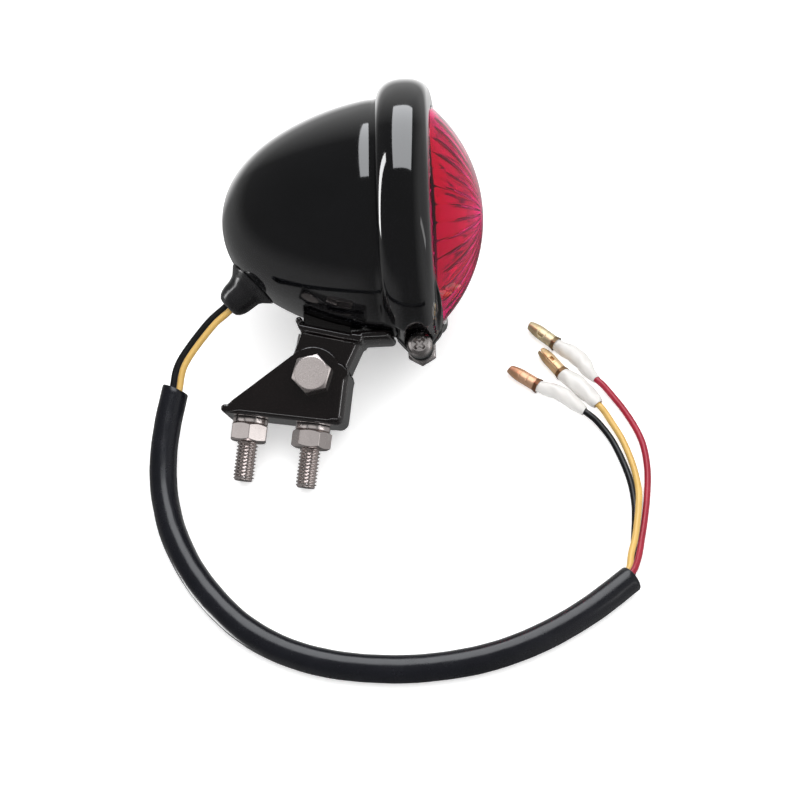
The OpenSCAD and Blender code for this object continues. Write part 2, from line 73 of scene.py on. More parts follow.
# ------------------------------------------------------------------ camera
def make_camera():
    az, el, roll = (math.radians(a) for a in (0.344, 56.0, 0.672))
    fwd = Vector((-sin(az) * cos(el), cos(az) * cos(el), -sin(el)))
    right = Vector((cos(az), sin(az), 0))
    up = right.cross(fwd)
    r2 = right * cos(roll) - up * sin(roll)
    u2 = right * sin(roll) + up * cos(roll)
    data = bpy.data.cameras.new("camera")
    data.lens, data.sensor_width = 110.25, 36
    data.clip_start, data.clip_end = 0.01, 20
    ob = bpy.data.objects.new("camera", data)
    scene.collection.objects.link(ob)
    ob.location = Vector((0.01361, -0.02156, 0)) - fwd * 0.715
    ob.rotation_euler = Matrix((r2, u2, -fwd)).transposed().to_euler()
    scene.camera = ob


make_camera()


# ------------------------------------------------------------------ frames of the lamp, in mm
def trans(v):
    m = np.eye(4)
    m[:3, 3] = v
    return m


def rot(axis, deg):
    m = np.eye(4)
    c, s = cos(math.radians(deg)), sin(math.radians(deg))
    i, j = {"x": (1, 2), "y": (2, 0), "z": (0, 1)}[axis]
    m[i, i], m[i, j], m[j, i], m[j, j] = c, -s, s, c
    return m


SHELL_R, SHELL_LEN, X_TAIL = 34.1, 46.3, -15.5
PIV = np.array([-36.4, 0.0, -45.8])
LAMP = trans([24.55, 15.28, 40.01]) @ rot("y", -4.08) @ rot("x", -(90 - 26.75))
AXIS = LAMP @ rot("y", 90)                       # local z along the lamp's axis
FOOTF = LAMP @ trans(PIV) @ rot("y", 9)          # u, y, w


def tail(u):
    u = np.clip(u, 0, 1)
    return np.sqrt(np.maximum(0, 1 - u ** (1.6 + 0.32 * u ** 3)))


BOOT_U = 0.836
BOOT_X = X_TAIL - SHELL_LEN * BOOT_U
BOOT_R = SHELL_R * float(tail(BOOT_U))
BOOT_TILT = math.degrees(math.atan2(SHELL_R * float(tail(BOOT_U - 0.01) - tail(BOOT_U + 0.01)), SHELL_LEN * 0.02)) + 3.5
BOOTF = LAMP @ trans([BOOT_X, 0, -BOOT_R]) @ rot("y", -(180 - BOOT_TILT))
NOSE = 9.4
CLAMP_X, CLAMP_Z = -6.1, -38.0


def put(m, p):
    p = np.asarray(p, float)
    return p @ m[:3, :3].T + m[:3, 3]


def unit(v):
    v = np.asarray(v, float)
    return v / np.linalg.norm(v)


# ------------------------------------------------------------------ meshes
def signed_volume(co, tris):
    a, b, c = co[tris[:, 0]], co[tris[:, 1]], co[tris[:, 2]]
    return float(np.einsum("ij,ij->i", a, np.cross(b, c)).sum() / 6)


def build(name, verts, faces, place=None, smooth=35, normals=None):
    """A mesh object from millimetre points, its vertices in the row frame."""
    co = np.asarray(verts, float)
    if place is not None:
        co = put(place, co)
    tris = np.array([(f[0], f[i], f[i + 1]) for f in faces for i in range(1, len(f) - 1)])
    if signed_volume(co, tris) < 0:
        faces = [tuple(reversed(f)) for f in faces]
    me = bpy.data.meshes.new(name)
    me.from_pydata((co * 0.001).tolist(), [], [tuple(int(i) for i in f) for f in faces])
    me.validate()
    me.polygons.foreach_set("use_smooth", np.ones(len(me.polygons), bool))
    if normals is not None:
        n = np.asarray(normals, float)
        if place is not None:
            n = n @ place[:3, :3].T
        me.normals_split_custom_set_from_vertices(n.tolist())
    elif smooth is not None and smooth < 179:
        me.set_sharp_from_angle(angle=math.radians(smooth))
    me.update()
    ob = bpy.data.objects.new(name, me)
    scene.collection.objects.link(ob)
    return ob


def quads_of(rows, n, closed_rows):
    faces = []
    m = len(rows)
    for i in range(m if closed_rows else m - 1):
        a, b = rows[i], rows[(i + 1) % m]
        for j in range(n):
            k = (j + 1) % n
            if len(a) == 1 and len(b) == 1:
                continue
            if len(a) == 1:
                faces.append((a[0], b[k], b[j]))
            elif len(b) == 1:
                faces.append((a[j], a[k], b[0]))
            else:
                faces.append((a[j], a[k], b[k], b[j]))
    return faces


def revolve(profile, n=96, wob=None):
    """Closed profile of (r, h) turned about z. wob(angle, r, h) may return a changed (r, h)."""
    verts, rows = [], []
    for r, h in profile:
        if r < 1e-6:
            rows.append([len(verts)])
            verts.append((0, 0, h))
            continue
        rows.append(list(range(len(verts), len(verts) + n)))
        for j in range(n):
            a = 2 * pi * j / n
            rr, hh = wob(a, r, h) if wob else (r, h)
            verts.append((rr * cos(a), rr * sin(a), hh))
    closed = len(rows[0]) > 1 or len(rows[-1]) > 1
    return np.array(verts), quads_of(rows, n, closed)


def arc(cx, cy, r, a0, a1, n):
    return [(cx + r * cos(math.radians(a0 + (a1 - a0) * i / n)), cy + r * sin(math.radians(a0 + (a1 - a0) * i / n)))
            for i in range(n + 1)]


def merge(*parts):
    verts, faces, base = [], [], 0
    for v, f in parts:
        verts.append(np.asarray(v, float))
        faces += [tuple(i + base for i in g) for g in f]
        base += len(v)
    return np.concatenate(verts), faces


def moved(part, m):
    return put(m, part[0]), part[1]


def outline_hex(af, fillet=0.35, steps=5):
    """Points round a hexagon with rounded corners, a corner at angle 0."""
    R = af / 2 / cos(pi / 6)
    pts = []
    for i in range(6):
        a = pi / 3 * i
        d = R - fillet / cos(pi / 6)
        cx, cy = d * cos(a), d * sin(a)
        for k in range(steps + 1):
            b = a - pi / 6 + pi / 3 * k / steps
            pts.append((cx + fillet * cos(b), cy + fillet * sin(b)))
        nxt = a + pi / 3
        p0, p1 = np.array(pts[-1]), np.array([d * cos(nxt) + fillet * cos(nxt - pi / 6), d * sin(nxt) + fillet * sin(nxt - pi / 6)])
        for t in (0.02, 0.12, 0.3, 0.5, 0.7, 0.88, 0.98):
            pts.append(tuple(p0 + (p1 - p0) * t))
    return np.array(pts)


def hexagon(af, h, top=True, bottom=False, bore=0.0, circle=0.95, slope=30):
    """Hexagonal head or nut standing on z = 0, with turned chamfers and an optional bore."""
    o = outline_hex(af)
    n = len(o)
    R = np.hypot(o[:, 0], o[:, 1])
    d = o / R[:, None]
    r0 = af / 2 * circle
    drop = np.maximum(R - r0, 0) * math.tan(math.radians(slope))
    rows, verts = [], []

    def ring(radius, z):
        radius = np.broadcast_to(radius, n)
        z = np.broadcast_to(z, n)
        rows.append(list(range(len(verts), len(verts) + n)))
        verts.extend(zip(d[:, 0] * radius, d[:, 1] * radius, z))

    if bore:
        ring(bore, h - 0.45), ring(bore + 0.45, h)
    else:
        rows.append([0])
        verts.append((0, 0, h))
    if top:
        ring(r0 - 0.3, h), ring(r0 - 0.03, h), ring(r0 + 0.12, h - 0.05)
        ring(R - 0.08, h - np.maximum(drop - 0.03, 0.06)), ring(R, h - drop - 0.1)
    else:
        ring(R - 0.2, h), ring(R, h - 0.2)
    ring(R, h - drop.max() - 0.25 if top else h - 0.3)
    if bottom:
        ring(R, drop.max() + 0.25), ring(R, drop + 0.1), ring(R - 0.08, np.maximum(drop - 0.03, 0.06))
        ring(r0 + 0.12, 0.05), ring(r0 - 0.03, 0), ring(r0 - 0.3, 0)
    else:
        ring(R, 0.15), ring(R - 0.12, 0.0)
    if bore:
        ring(bore + 0.45, 0), ring(bore, 0.45)
    else:
        rows.append([len(verts)])
        verts.append((0, 0, 0))
    return np.array(verts, float), quads_of(rows, n, bool(bore))


def thread(r, length, pitch=1.0, depth=0.55, n=56, plain=0.0, tip=0.9):
    """A threaded rod from z = 0 to length: plain for the first stretch, with a chamfered tip."""
    per = 10
    zs = np.arange(0, length + 1e-9, pitch / per)
    verts, rows = [], []
    rows.append([0])
    verts.append((0, 0, 0))
    for z in zs:
        rows.append(list(range(len(verts), len(verts) + n)))
        for j in range(n):
            a = 2 * pi * j / n
            t = (z / pitch - j / n) % 1.0
            t = abs(2 * t - 1)                      # 1 at the crest
            f = min(max((t - 0.12) / 0.72, 0), 1)
            rr = r - depth * (1 - f)
            if z < plain:
                rr = r - 0.04
            elif z < plain + 0.6:
                rr = min(r - 0.04, rr + (plain + 0.6 - z) * 0.6)
            if z > length - tip:
                rr = min(rr, r - (z - length + tip) * 0.75)
            if z < 0.05:
                rr = r * 0.96
            verts.append((rr * cos(a), rr * sin(a), z))
    rows.append([len(verts)])
    verts.append((0, 0, zs[-1]))
    return np.array(verts, float), quads_of(rows, n, False)


# ------------------------------------------------------------------ shapes from distance functions
def smax(a, b, r):
    return np.minimum(-r, np.maximum(a, b)) + np.sqrt(np.maximum(a + r, 0) ** 2 + np.maximum(b + r, 0) ** 2)


def smin(a, b, r):
    return np.maximum(r, np.minimum(a, b)) - np.sqrt(np.maximum(r - a, 0) ** 2 + np.maximum(r - b, 0) ** 2)


def step(a, b, x):
    t = np.clip((x - a) / (b - a), 0, 1)
    return t * t * (3 - 2 * t)


def sd_poly(px, py, poly):
    V = np.asarray(poly, float)
    d = np.full(px.shape, 1e18)
    s = np.ones(px.shape)
    for i in range(len(V)):
        ax, ay = V[i]
        bx, by = V[i - 1]
        ex, ey = bx - ax, by - ay
        wx, wy = px - ax, py - ay
        t = np.clip((wx * ex + wy * ey) / (ex * ex + ey * ey), 0, 1)
        d = np.minimum(d, (wx - t * ex) ** 2 + (wy - t * ey) ** 2)
        c1, c2, c3 = py >= ay, py < by, ex * wy > ey * wx
        s = np.where((c1 & c2 & c3) | (~c1 & ~c2 & ~c3), -s, s)
    return s * np.sqrt(d)


def sd_round_rect(x, y, x0, x1, y0, y1, r):
    qx = np.abs(x - (x0 + x1) / 2) - (x1 - x0) / 2 + r
    qy = np.abs(y - (y0 + y1) / 2) - (y1 - y0) / 2 + r
    return np.minimum(np.maximum(qx, qy), 0) + np.hypot(np.maximum(qx, 0), np.maximum(qy, 0)) - r


def gradient(f, p, e=0.02):
    g = np.empty_like(p)
    for i in range(3):
        d = np.zeros(3)
        d[i] = e
        g[:, i] = (f(p + d) - f(p - d)) / (2 * e)
    return g


def carve(f, lo, hi, h, block=8, rounds=3):
    """Surface of f = 0 as quads: a net over the cells that it crosses, then each point moved onto it."""
    lo = np.array(lo, float)
    nb = np.ceil((np.array(hi, float) - lo) / h / block).astype(int)
    n = nb * block
    ci = np.stack(np.meshgrid(*[np.arange(k) for k in nb], indexing="ij"), -1).reshape(-1, 3)
    fc = f(lo + (ci * block + block / 2) * h)
    sgn = np.sign(fc).reshape(nb)
    F = np.repeat(np.repeat(np.repeat(sgn, block, 0), block, 1), block, 2)
    F = np.pad(F, ((0, 1), (0, 1), (0, 1)), mode="edge") * 100.0
    near = ci[np.abs(fc) < block * h * 0.87 * 1.35 + h]
    k = np.arange(block + 1)
    off = np.stack(np.meshgrid(k, k, k, indexing="ij"), -1).reshape(-1, 3)
    for s in range(0, len(near), 256):
        part = near[s:s + 256] * block
        idx = (part[:, None, :] + off[None]).reshape(-1, 3)
        val = f(lo + idx * h)
        F[idx[:, 0], idx[:, 1], idx[:, 2]] = val
    S = F < 0
    nx, ny, nz = F.shape
    cnt = np.zeros((nx - 1, ny - 1, nz - 1), np.int8)
    for i in (0, 1):
        for j in (0, 1):
            for l in (0, 1):
                cnt += S[i:nx - 1 + i, j:ny - 1 + j, l:nz - 1 + l]
    act = np.argwhere((cnt > 0) & (cnt < 8))
    index = -np.ones(cnt.shape, int)
    index[act[:, 0], act[:, 1], act[:, 2]] = np.arange(len(act))
    acc, num = np.zeros((len(act), 3)), np.zeros(len(act))
    corners = [(i, j, l) for i in (0, 1) for j in (0, 1) for l in (0, 1)]
    for a in corners:
        for ax in range(3):
            if a[ax]:
                continue
            b = list(a)
            b[ax] = 1
            fa = F[act[:, 0] + a[0], act[:, 1] + a[1], act[:, 2] + a[2]]
            fb = F[act[:, 0] + b[0], act[:, 1] + b[1], act[:, 2] + b[2]]
            cross = (fa < 0) != (fb < 0)
            t = np.where(cross, fa / np.where(cross, fa - fb, 1), 0)
            q = act + np.array(a, float)
            q[:, ax] += t
            acc[cross] += q[cross]
            num[cross] += 1
    P = lo + acc / num[:, None] * h
    faces = []
    for ax in range(3):
        o1, o2 = [(1, 2), (2, 0), (0, 1)][ax]
        sl_a = [slice(None)] * 3
        sl_b = [slice(None)] * 3
        sl_a[ax], sl_b[ax] = slice(0, -1), slice(1, None)
        for o in (o1, o2):
            sl_a[o] = sl_b[o] = slice(1, -1)
        A, B = S[tuple(sl_a)], S[tuple(sl_b)]
        at = np.argwhere(A != B)
        inside = A[at[:, 0], at[:, 1], at[:, 2]]
        at[:, o1] += 1
        at[:, o2] += 1
        quad = []
        for d1, d2 in ((-1, -1), (0, -1), (0, 0), (-1, 0)):
            c = at.copy()
            c[:, o1] += d1
            c[:, o2] += d2
            quad.append(index[c[:, 0], c[:, 1], c[:, 2]])
        quad = np.stack(quad, 1)
        quad[~inside] = quad[~inside][:, ::-1]
        faces.append(quad)
    faces = np.concatenate(faces)
    for _ in range(rounds):
        g = gradient(f, P)
        g2 = np.maximum((g * g).sum(1), 0.05)
        move = -(f(P) / g2)[:, None] * g
        length = np.linalg.norm(move, axis=1)
        move *= np.minimum(1, 0.6 * h / np.maximum(length, 1e-9))[:, None]
        P = P + move
    g = gradient(f, P, 0.05)
    N = g / np.maximum(np.linalg.norm(g, axis=1), 1e-9)[:, None]
    return P, [tuple(q) for q in faces.tolist()], N


def carved(name, f, lo, hi, h, place, **more):
    P, faces, N = carve(f, lo, hi, h, **more)
    co = put(place, P)
    nw = N @ place[:3, :3].T
    me = bpy.data.meshes.new(name)
    me.from_pydata((co * 0.001).tolist(), [], faces)
    me.validate()
    me.polygons.foreach_set("use_smooth", np.ones(len(me.polygons), bool))
    me.normals_split_custom_set_from_vertices(nw.tolist())
    me.update()
    ob = bpy.data.objects.new(name, me)
    scene.collection.objects.link(ob)
    return ob


# ------------------------------------------------------------------ curves
def catmull(knots, q):
    k = np.asarray(knots, float)
    k = np.vstack([2 * k[0] - k[1], k, 2 * k[-1] - k[-2]])
    q = np.asarray(q, float)
    i = np.clip(np.floor(q).astype(int), 0, len(k) - 4)
    t = (q - i)[:, None]
    a, b, c, d = k[i], k[i + 1], k[i + 2], k[i + 3]
    p = 0.5 * (2 * b + (c - a) * t + (2 * a - 5 * b + 4 * c - d) * t ** 2 + (3 * b - a - 3 * c + d) * t ** 3)
    v = (c - a) + 2 * (2 * a - 5 * b + 4 * c - d) * t + 3 * (3 * b - a - 3 * c + d) * t ** 2
    return p, v / np.linalg.norm(v, axis=1)[:, None]


def evenly(p, gap):
    p = np.asarray(p, float)
    s = np.concatenate([[0], np.cumsum(np.linalg.norm(np.diff(p, axis=0), axis=1))])
    m = max(2, int(round(s[-1] / gap)) + 1)
    x = np.linspace(0, s[-1], m)
    return np.stack([np.interp(x, s, p[:, i]) for i in range(3)], 1), s[-1]


def smoothed(p, times):
    p = p.copy()
    for _ in range(times):
        q = p.copy()
        q[1:-1] = 0.25 * p[:-2] + 0.5 * p[1:-1] + 0.25 * p[2:]
        p = q
    return p


def frames_along(p):
    t = np.gradient(p, axis=0)
    t /= np.linalg.norm(t, axis=1)[:, None]
    side = unit(np.cross(t[0], [0, 0, 1]))
    s_all, u_all = [], []
    for i in range(len(p)):
        side = unit(side - t[i] * (side @ t[i]))
        s_all.append(side)
        u_all.append(np.cross(side, t[i]))
    return t, np.array(s_all), np.array(u_all)


def tube(p, r, n=16, radius=None):
    """A tube with rounded ends along p."""
    t, s, u = frames_along(p)
    verts, rows = [], []
    m = len(p)
    rows.append([0])
    verts.append(p[0])
    for i in range(m):
        rr = r if radius is None else radius[i]
        for scale in ((0.82, 1.0) if i in (0, m - 1) else (1.0,))[::1 if i == 0 else -1]:
            shift = (0 if scale == 1.0 else (-0.12 if i == 0 else 0.12))
            rows.append(list(range(len(verts), len(verts) + n)))
            for j in range(n):
                a = 2 * pi * j / n
                verts.append(p[i] + t[i] * (shift + (0.12 if i == 0 else -0.12) * 0) + rr * scale * (cos(a) * s[i] + sin(a) * u[i]))
    rows.append([len(verts)])
    verts.append(p[-1])
    return np.array(verts), quads_of(rows, n, False)


# ------------------------------------------------------------------ the lead: route in the row frame, mm
OUT_DIR = (LAMP[:3, :3] @ np.array([-sin(math.radians(BOOT_TILT)), 0, -cos(math.radians(BOOT_TILT))]))
OUT_AT = put(LAMP, np.array([BOOT_X, 0, -BOOT_R]) + NOSE * np.array([-sin(math.radians(BOOT_TILT)), 0, -cos(math.radians(BOOT_TILT))]))
ROUTE = np.array([list(OUT_AT), list(OUT_AT + 7 * OUT_DIR),
    [-48.7, -19.7, 17.5], [-50.5, -27.05, 14], [-52.45, -36.05, 10.8], [-53.5, -45.05, 7.8], [-53.3, -53.95, 5.4],
    [-51.9, -61.8, 4.2], [-49.5, -70, 3.95], [-44.45, -80.75, 3.95], [-37.85, -90.25, 3.95], [-29.4, -99, 3.95],
    [-19.2, -105.5, 3.95], [-7.65, -109.65, 3.95], [6.3, -111.65, 3.95], [20.3, -111.5, 3.95], [35.35, -108.95, 3.95],
    [49.9, -103.5, 3.95], [64.45, -94.75, 3.95], [77.3, -84.2, 3.95]])
S0, S1 = 3, 19
(END_AT,), (END_DIR,) = catmull(ROUTE, [S1 - 1e-9])
END_SIDE = -unit(np.cross(END_DIR, [0, 0, 1]))


def end_pt(s, h, on=0.0):
    return list(END_AT + s * END_SIDE + h * np.array([0, 0, 1]) + on * END_DIR)


WAYS = {
    "black": [[78.4, -77.5, 1.2], [79, -71, 1], [79.7, -63.5, 1], [79.9, -58, 1], [79.2, -51, 1], [77.3, -43.8, 1],
              [74.5, -36.4, 1], [70.7, -30.8, 1.8], [68.8, -29, 2.25], [67.1, -27.5, 2.25]],
    "yellow": [[77.6, -76.8, 4.2], [79.1, -71, 3.3], [80, -66, 3.1], [80.7, -61, 2.9], [81.2, -55.5, 2.3],
               [80.9, -50.5, 1.6], [80, -44.5, 1], [77.6, -36.5, 1], [74.3, -29.8, 1.4], [72.4, -26.7, 2.2], [71.1, -25.1, 2.25]],
    "red": [[79.8, -76.8, 3.5], [81, -70.8, 2.2], [82.3, -64, 1.2], [83.6, -55.3, 1], [84.2, -46, 1], [83.1, -36.7, 1],
            [79.4, -27.7, 1], [74.5, -20.4, 1.9], [72.6, -17.9, 2.25], [71.1, -16.4, 2.25]],
}
# place across the lead, (side, up), at shares of the way through the sheath
ACROSS = {
    "black": [(0, 0.98, -0.6), (0.06, 0.98, -0.6), (0.2, 1.95, -0.4), (0.4, 1.95, -0.2), (0.6, 0.9, -1.8), (0.8, -0.6, -2.1), (1, -1.2, -2.0)],
    "yellow": [(0, -0.98, -0.6), (0.06, -0.98, -0.6), (0.2, -1.95, -0.4), (0.4, -1.95, -0.2), (0.6, -1.9, 0.5), (1, -2.45, 0.3)],
    "red": [(0, 0, -2.3), (0.06, 0, -2.3), (0.2, 0, -1.2), (0.4, 0, 1.2), (0.6, 0.2, 1.6), (0.8, -0.2, 1.6), (1, -0.9, 1.2)],
}
MOUTH = {"black": (1.2, -2.0), "yellow": (2.45, 0.3), "red": (0.9, 1.2)}
PLUG_Z = 2.25
PLUGS = {"black": (54.2, -18.6, 143.3), "yellow": (61.35, -14.3, 126), "red": (59.9, -3.65, 137.3)}
SOFT = {      # x, y and half width, from the wire to the bullet
    "black": [[67.1, -27.5, 1.35], [64.5, -24.95, 2], [62.1, -22.6, 2.3], [59.2, -20.5, 2.15], [56.4, -19.5, 2.05], [54.2, -18.6, 1.8]],
    "yellow": [[71.1, -25.1, 1.65], [70, -23.5, 2.2], [67.9, -20.9, 2.65], [65.6, -18.2, 2.6], [63.3, -15.9, 2.45], [61.35, -14.3, 2.05]],
    "red": [[71.1, -16.4, 1.2], [68.9, -13.4, 1.9], [67.2, -10.1, 2.4], [64.9, -7.4, 2.6], [62.2, -5.6, 2.15], [59.9, -3.65, 1.75]],
}
WIRE_R, SHEATH_R = 0.95, 3.86


def wire_line(colour):
    q = np.linspace(0, S1 - 1e-6, 420)
    p, d = catmull(ROUTE, q)
    share = np.clip((q - S0) / (S1 - S0), 0, 1)
    tab = np.array(ACROSS[colour])
    across = np.interp(share, tab[:, 0], tab[:, 1])
    high = np.interp(share, tab[:, 0], tab[:, 2])
    k = np.ones(31) / 31
    pad = lambda v: np.convolve(np.concatenate([np.full(15, v[0]), v, np.full(15, v[-1])]), k, "valid")
    across, high = pad(across), pad(high)
    side = np.cross(d, [0, 0, 1.0])
    side /= np.linalg.norm(side, axis=1)[:, None]
    up = np.cross(side, d)
    a = p + across[:, None] * side + high[:, None] * up
    s, h = MOUTH[colour]
    knots = np.array([end_pt(s, h), end_pt(s, h, 1.6)] + WAYS[colour], float)
    b, _ = catmull(knots, np.linspace(0, len(knots) - 1 - 1e-6, 12 * len(knots)))
    inside, _ = catmull(np.array(SOFT[colour]), np.linspace(0.1, 1.2, 8))
    inside[:, 2] = PLUG_Z
    inner = a[0] - OUT_DIR * 1.5
    line = np.vstack([[inner], a, b[1:], inside])
    line, _ = evenly(line, 0.5)
    line = smoothed(line, 6)
    line, length = evenly(line, 1.1)
    return line, length


def sheath_line():
    q = np.linspace(S0, S1 - 1e-6, 400)
    p, _ = catmull(ROUTE, q)
    return evenly(p, 1.6)


WIRES = {c: wire_line(c) for c in ("black", "yellow", "red")}
SHEATH_LINE, SHEATH_LEN = sheath_line()


def make_sheath():
    p = SHEATH_LINE
    n = 40
    t, s, u = frames_along(p)
    m = len(p)
    gap = SHEATH_LEN / (m - 1)
    far = np.arange(m) * gap
    verts, rows = [], []

    def ring(i, r, extra=0.0):
        rows.append(list(range(len(verts), len(verts) + n)))
        for j in range(n):
            a = 2 * pi * j / n
            d = cos(a) * s[i] + sin(a) * u[i]
            # the near end is cut a little askew
            askew = -0.2 * max(0.0, 1 - far[i] / 6) * r * cos(a)
            soft = 1 + 0.006 * sin(far[i] * 0.31 + 2.2 * sin(a)) + 0.004 * sin(far[i] * 0.83 + 3 * a)
            verts.append(p[i] + d * r * soft + t[i] * (extra + askew))

    wall = 0.52
    ring(0, SHEATH_R - wall + 0.02, 0.05)
    ring(0, SHEATH_R - 0.4, -0.02)
    ring(0, SHEATH_R - 0.12, 0.03)
    ring(0, SHEATH_R, 0.22)
    for i in range(1, m - 1):
        ring(i, SHEATH_R)
    ring(m - 1, SHEATH_R, -0.22)
    ring(m - 1, SHEATH_R - 0.12, -0.03)
    ring(m - 1, SHEATH_R - 0.4, 0.02)
    ring(m - 1, SHEATH_R - wall + 0.02, -0.05)
    for i in range(m - 2, 0, -1):
        ring(i, SHEATH_R - wall)
    return build("sheath_tube", verts, quads_of(rows, n, True), smooth=60)


sheath = make_sheath()
wires = {}
for c in ("black", "yellow", "red"):
    v, f = tube(WIRES[c][0], WIRE_R, 18)
    wires[c] = build("lead_" + c, v, f, smooth=60)


# ------------------------------------------------------------------ plugs
def plug_frame(c):
    x, y, head = PLUGS[c]
    return trans([x, y, PLUG_Z]) @ rot("z", head) @ rot("y", 90)


def make_sleeve(c):
    """A soft sleeve, bowed and pinched, from its open end at the wire into the bullet's flared rim."""
    seed = {"black": 0.3, "yellow": 1.7, "red": 4.1}[c]
    n, m = 56, 64
    st = np.array(SOFT[c])
    k, d = catmull(st, np.linspace(0, len(st) - 1 - 1e-6, m))
    d = d[:, :2] / np.linalg.norm(d[:, :2], axis=1)[:, None]
    head = math.radians(PLUGS[c][2])
    end = np.array([cos(head), sin(head)])
    far = np.concatenate([[0], np.cumsum(np.linalg.norm(np.diff(k[:, :2], axis=0), axis=1))])
    L = far[-1]
    mix = step(L - 2.5, L, far)[:, None]
    d = d * (1 - mix) + end * mix
    d /= np.linalg.norm(d, axis=1)[:, None]
    verts, rows = [], []

    def ring(i, scale, shift, thin=0.0):
        x, y, w = k[i]
        h = far[i]
        across = np.array([d[i, 1], -d[i, 0]])
        calm = min(1.0, h / 2.0, (L - h) / 1.6 + 0.15)
        rows.append(list(range(len(verts), len(verts) + n)))
        for j in range(n):
            a = 2 * pi * j / n
            b = 1 + calm * (0.035 * sin(2 * a + seed + 0.55 * h) + 0.03 * sin(3 * a - seed + 0.8 * h) + 0.018 * sin(1.5 * h + seed * 3 + 2 * a)
                            + 0.012 * sin(5 * a + 1.1 * h + seed))
            ww, hh = w * scale * b - thin, min(w, 2.15) * scale * b - thin
            u, v = ww * cos(a), hh * sin(a)
            skew = 0.22 * cos(a + seed) * max(0.0, 1 - h / 1.5)
            q = np.array([x, y]) + across * u + d[i] * (shift + skew)
            verts.append((q[0], q[1], max(PLUG_Z + v, 0.04)))

    ring(0, 0.93, 0.0)
    ring(0, 1.0, 0.12)
    for i in range(1, m - 1):
        ring(i, 1.0, 0.0)
    ring(m - 1, 1.0, 0.0)
    ring(m - 1, 0.97, 0.55)
    ring(m - 1, 0.80, 0.70)
    for i in range(m - 4, 0, -4):
        ring(i, 1.0, 0.0, 0.38 if i > 8 else 0.3)
    ring(0, 1.0, 0.12, 0.22)
    return build("sleeve_soft_" + c, verts, quads_of(rows, n, True), smooth=70)


def make_bullet(c):
    turn = {"black": 205.0, "yellow": 150.0, "red": 100.0}[c]
    prof = [(-1, -0.5), (-1, 10.95), (0.95, 10.95), (1.12, 10.7), (1.42, 9.75), (1.7, 8.5), (1.88, 7.3), (1.95, 6.2), (1.95, 1.75), (2.0, 1.2), (2.2, 0.12), (2.2, -0.5)]
    ca, sa = cos(math.radians(turn)), sin(math.radians(turn))

    def f(p):
        x, y, z = p[:, 0] * ca + p[:, 1] * sa, -p[:, 0] * sa + p[:, 1] * ca, p[:, 2]
        r = np.hypot(x, y)
        ang = np.arctan2(y, x)
        # rolled sheet: long flats, stronger towards the tip and on the crimped rim
        k = 7
        fold = np.abs(((ang * k / (2 * pi)) % 1.0) - 0.5) * 2 * pi / k
        flat = r * np.cos(fold)
        share = 0.15 + 0.6 * step(5.5, 8.5, z) + 0.8 * step(1.6, 0.9, z)
        rr = r * (1 - share * 0.5) + flat * share * 0.5
        d = smax(sd_poly(rr, z, prof), -z, 0.08)
        d = smax(d, z - 10.8 + 0.22 * (x + 1.0), 0.12)
        for at in (3.9, 6.4):
            d = smax(d, -smax(np.abs(z - at) - 0.10, 1.86 - r, 0.05), 0.06)
        seam = np.maximum(np.maximum(np.abs(y) - 0.10, 1.0 - x), 1.5 - z)
        d = smax(d, -seam, 0.05)
        window = sd_round_rect(z, y, 4.5, 6.1, 0.5, 1.35, 0.2)
        window = np.maximum(np.maximum(window, -x), 1.1 - r)
        d = smax(d, -window, 0.06)
        bore = np.maximum(r - (0.72 + 0.05 * (z - 8)), 8.4 - z)
        d = smax(d, -bore, 0.1)
        slit = np.maximum(np.maximum(np.abs(y) - 0.16, 8.8 - z), -x)
        d = smax(d, -slit, 0.05)
        socket = np.maximum(r - 1.98 + 0.15 * np.minimum(z, 1.4), z - 1.4)
        return smax(d, -socket, 0.08)

    return carved("bullet_brass_" + c, f, (-2.5, -2.5, -0.4), (2.5, 2.5, 11.2), 0.1, plug_frame(c))


sleeves = {c: make_sleeve(c) for c in PLUGS}
bullets = {c: make_bullet(c) for c in PLUGS}


# ------------------------------------------------------------------ housing
def make_housing():
    n = 150
    ang = np.sin(np.linspace(0, pi / 2, n))
    outer = [(34.6, -5.5), (34.6, -6.5), (34.52, -6.6), (34.2, -6.62), (34.1, -6.75), (34.1, -9), (34.1, -12), (34.1, -14.2), (34.1, -14.9)]
    outer += [(SHELL_R * float(tail(u)), X_TAIL - SHELL_LEN * u) for u in ang]
    # the skin turns up a little where it runs under the ring
    def turn_up(r, h):
        if h > -7:
            return r
        lift = np.interp(h, [-24, -19.7, -16.4, -14.9], [0, 0.05, -0.01, 0.36])
        return r + float(lift)

    outer = [(turn_up(r, h), h) for r, h in outer]
    w = 1.5
    inner = [((SHELL_R - w) * float(tail(u)), X_TAIL - (SHELL_LEN - w) * u) for u in ang[::-1][::3]]
    inner += [(SHELL_R - w, -12), (SHELL_R - w, -5.5), (SHELL_R - w + 0.1, -5.4), (34.5, -5.4)]
    outer[-1] = (0.0, outer[-1][1])
    inner[0] = (0.0, inner[0][1])
    n_around = 160
    verts, rows = [], []
    # outer skin, its pole, inner pole, inner skin: two chains joined at the rim
    chain = outer + inner
    rows_o, rows_i = [], []
    for k, (r, h) in enumerate(chain):
        row = [len(verts)] if r < 1e-6 else list(range(len(verts), len(verts) + n_around))
        if r < 1e-6:
            verts.append((0, 0, h))
        else:
            verts.extend((r * cos(2 * pi * j / n_around), r * sin(2 * pi * j / n_around), h) for j in range(n_around))
        (rows_o if k < len(outer) else rows_i).append(row)
    faces = quads_of(rows_o, n_around, False) + quads_of(rows_i, n_around, False)
    a, b = rows_i[-1], rows_o[0]
    faces += [(a[j], a[(j + 1) % n_around], b[(j + 1) % n_around], b[j]) for j in range(n_around)]
    return build("shell", verts, faces, AXIS, smooth=40)


shell = make_housing()


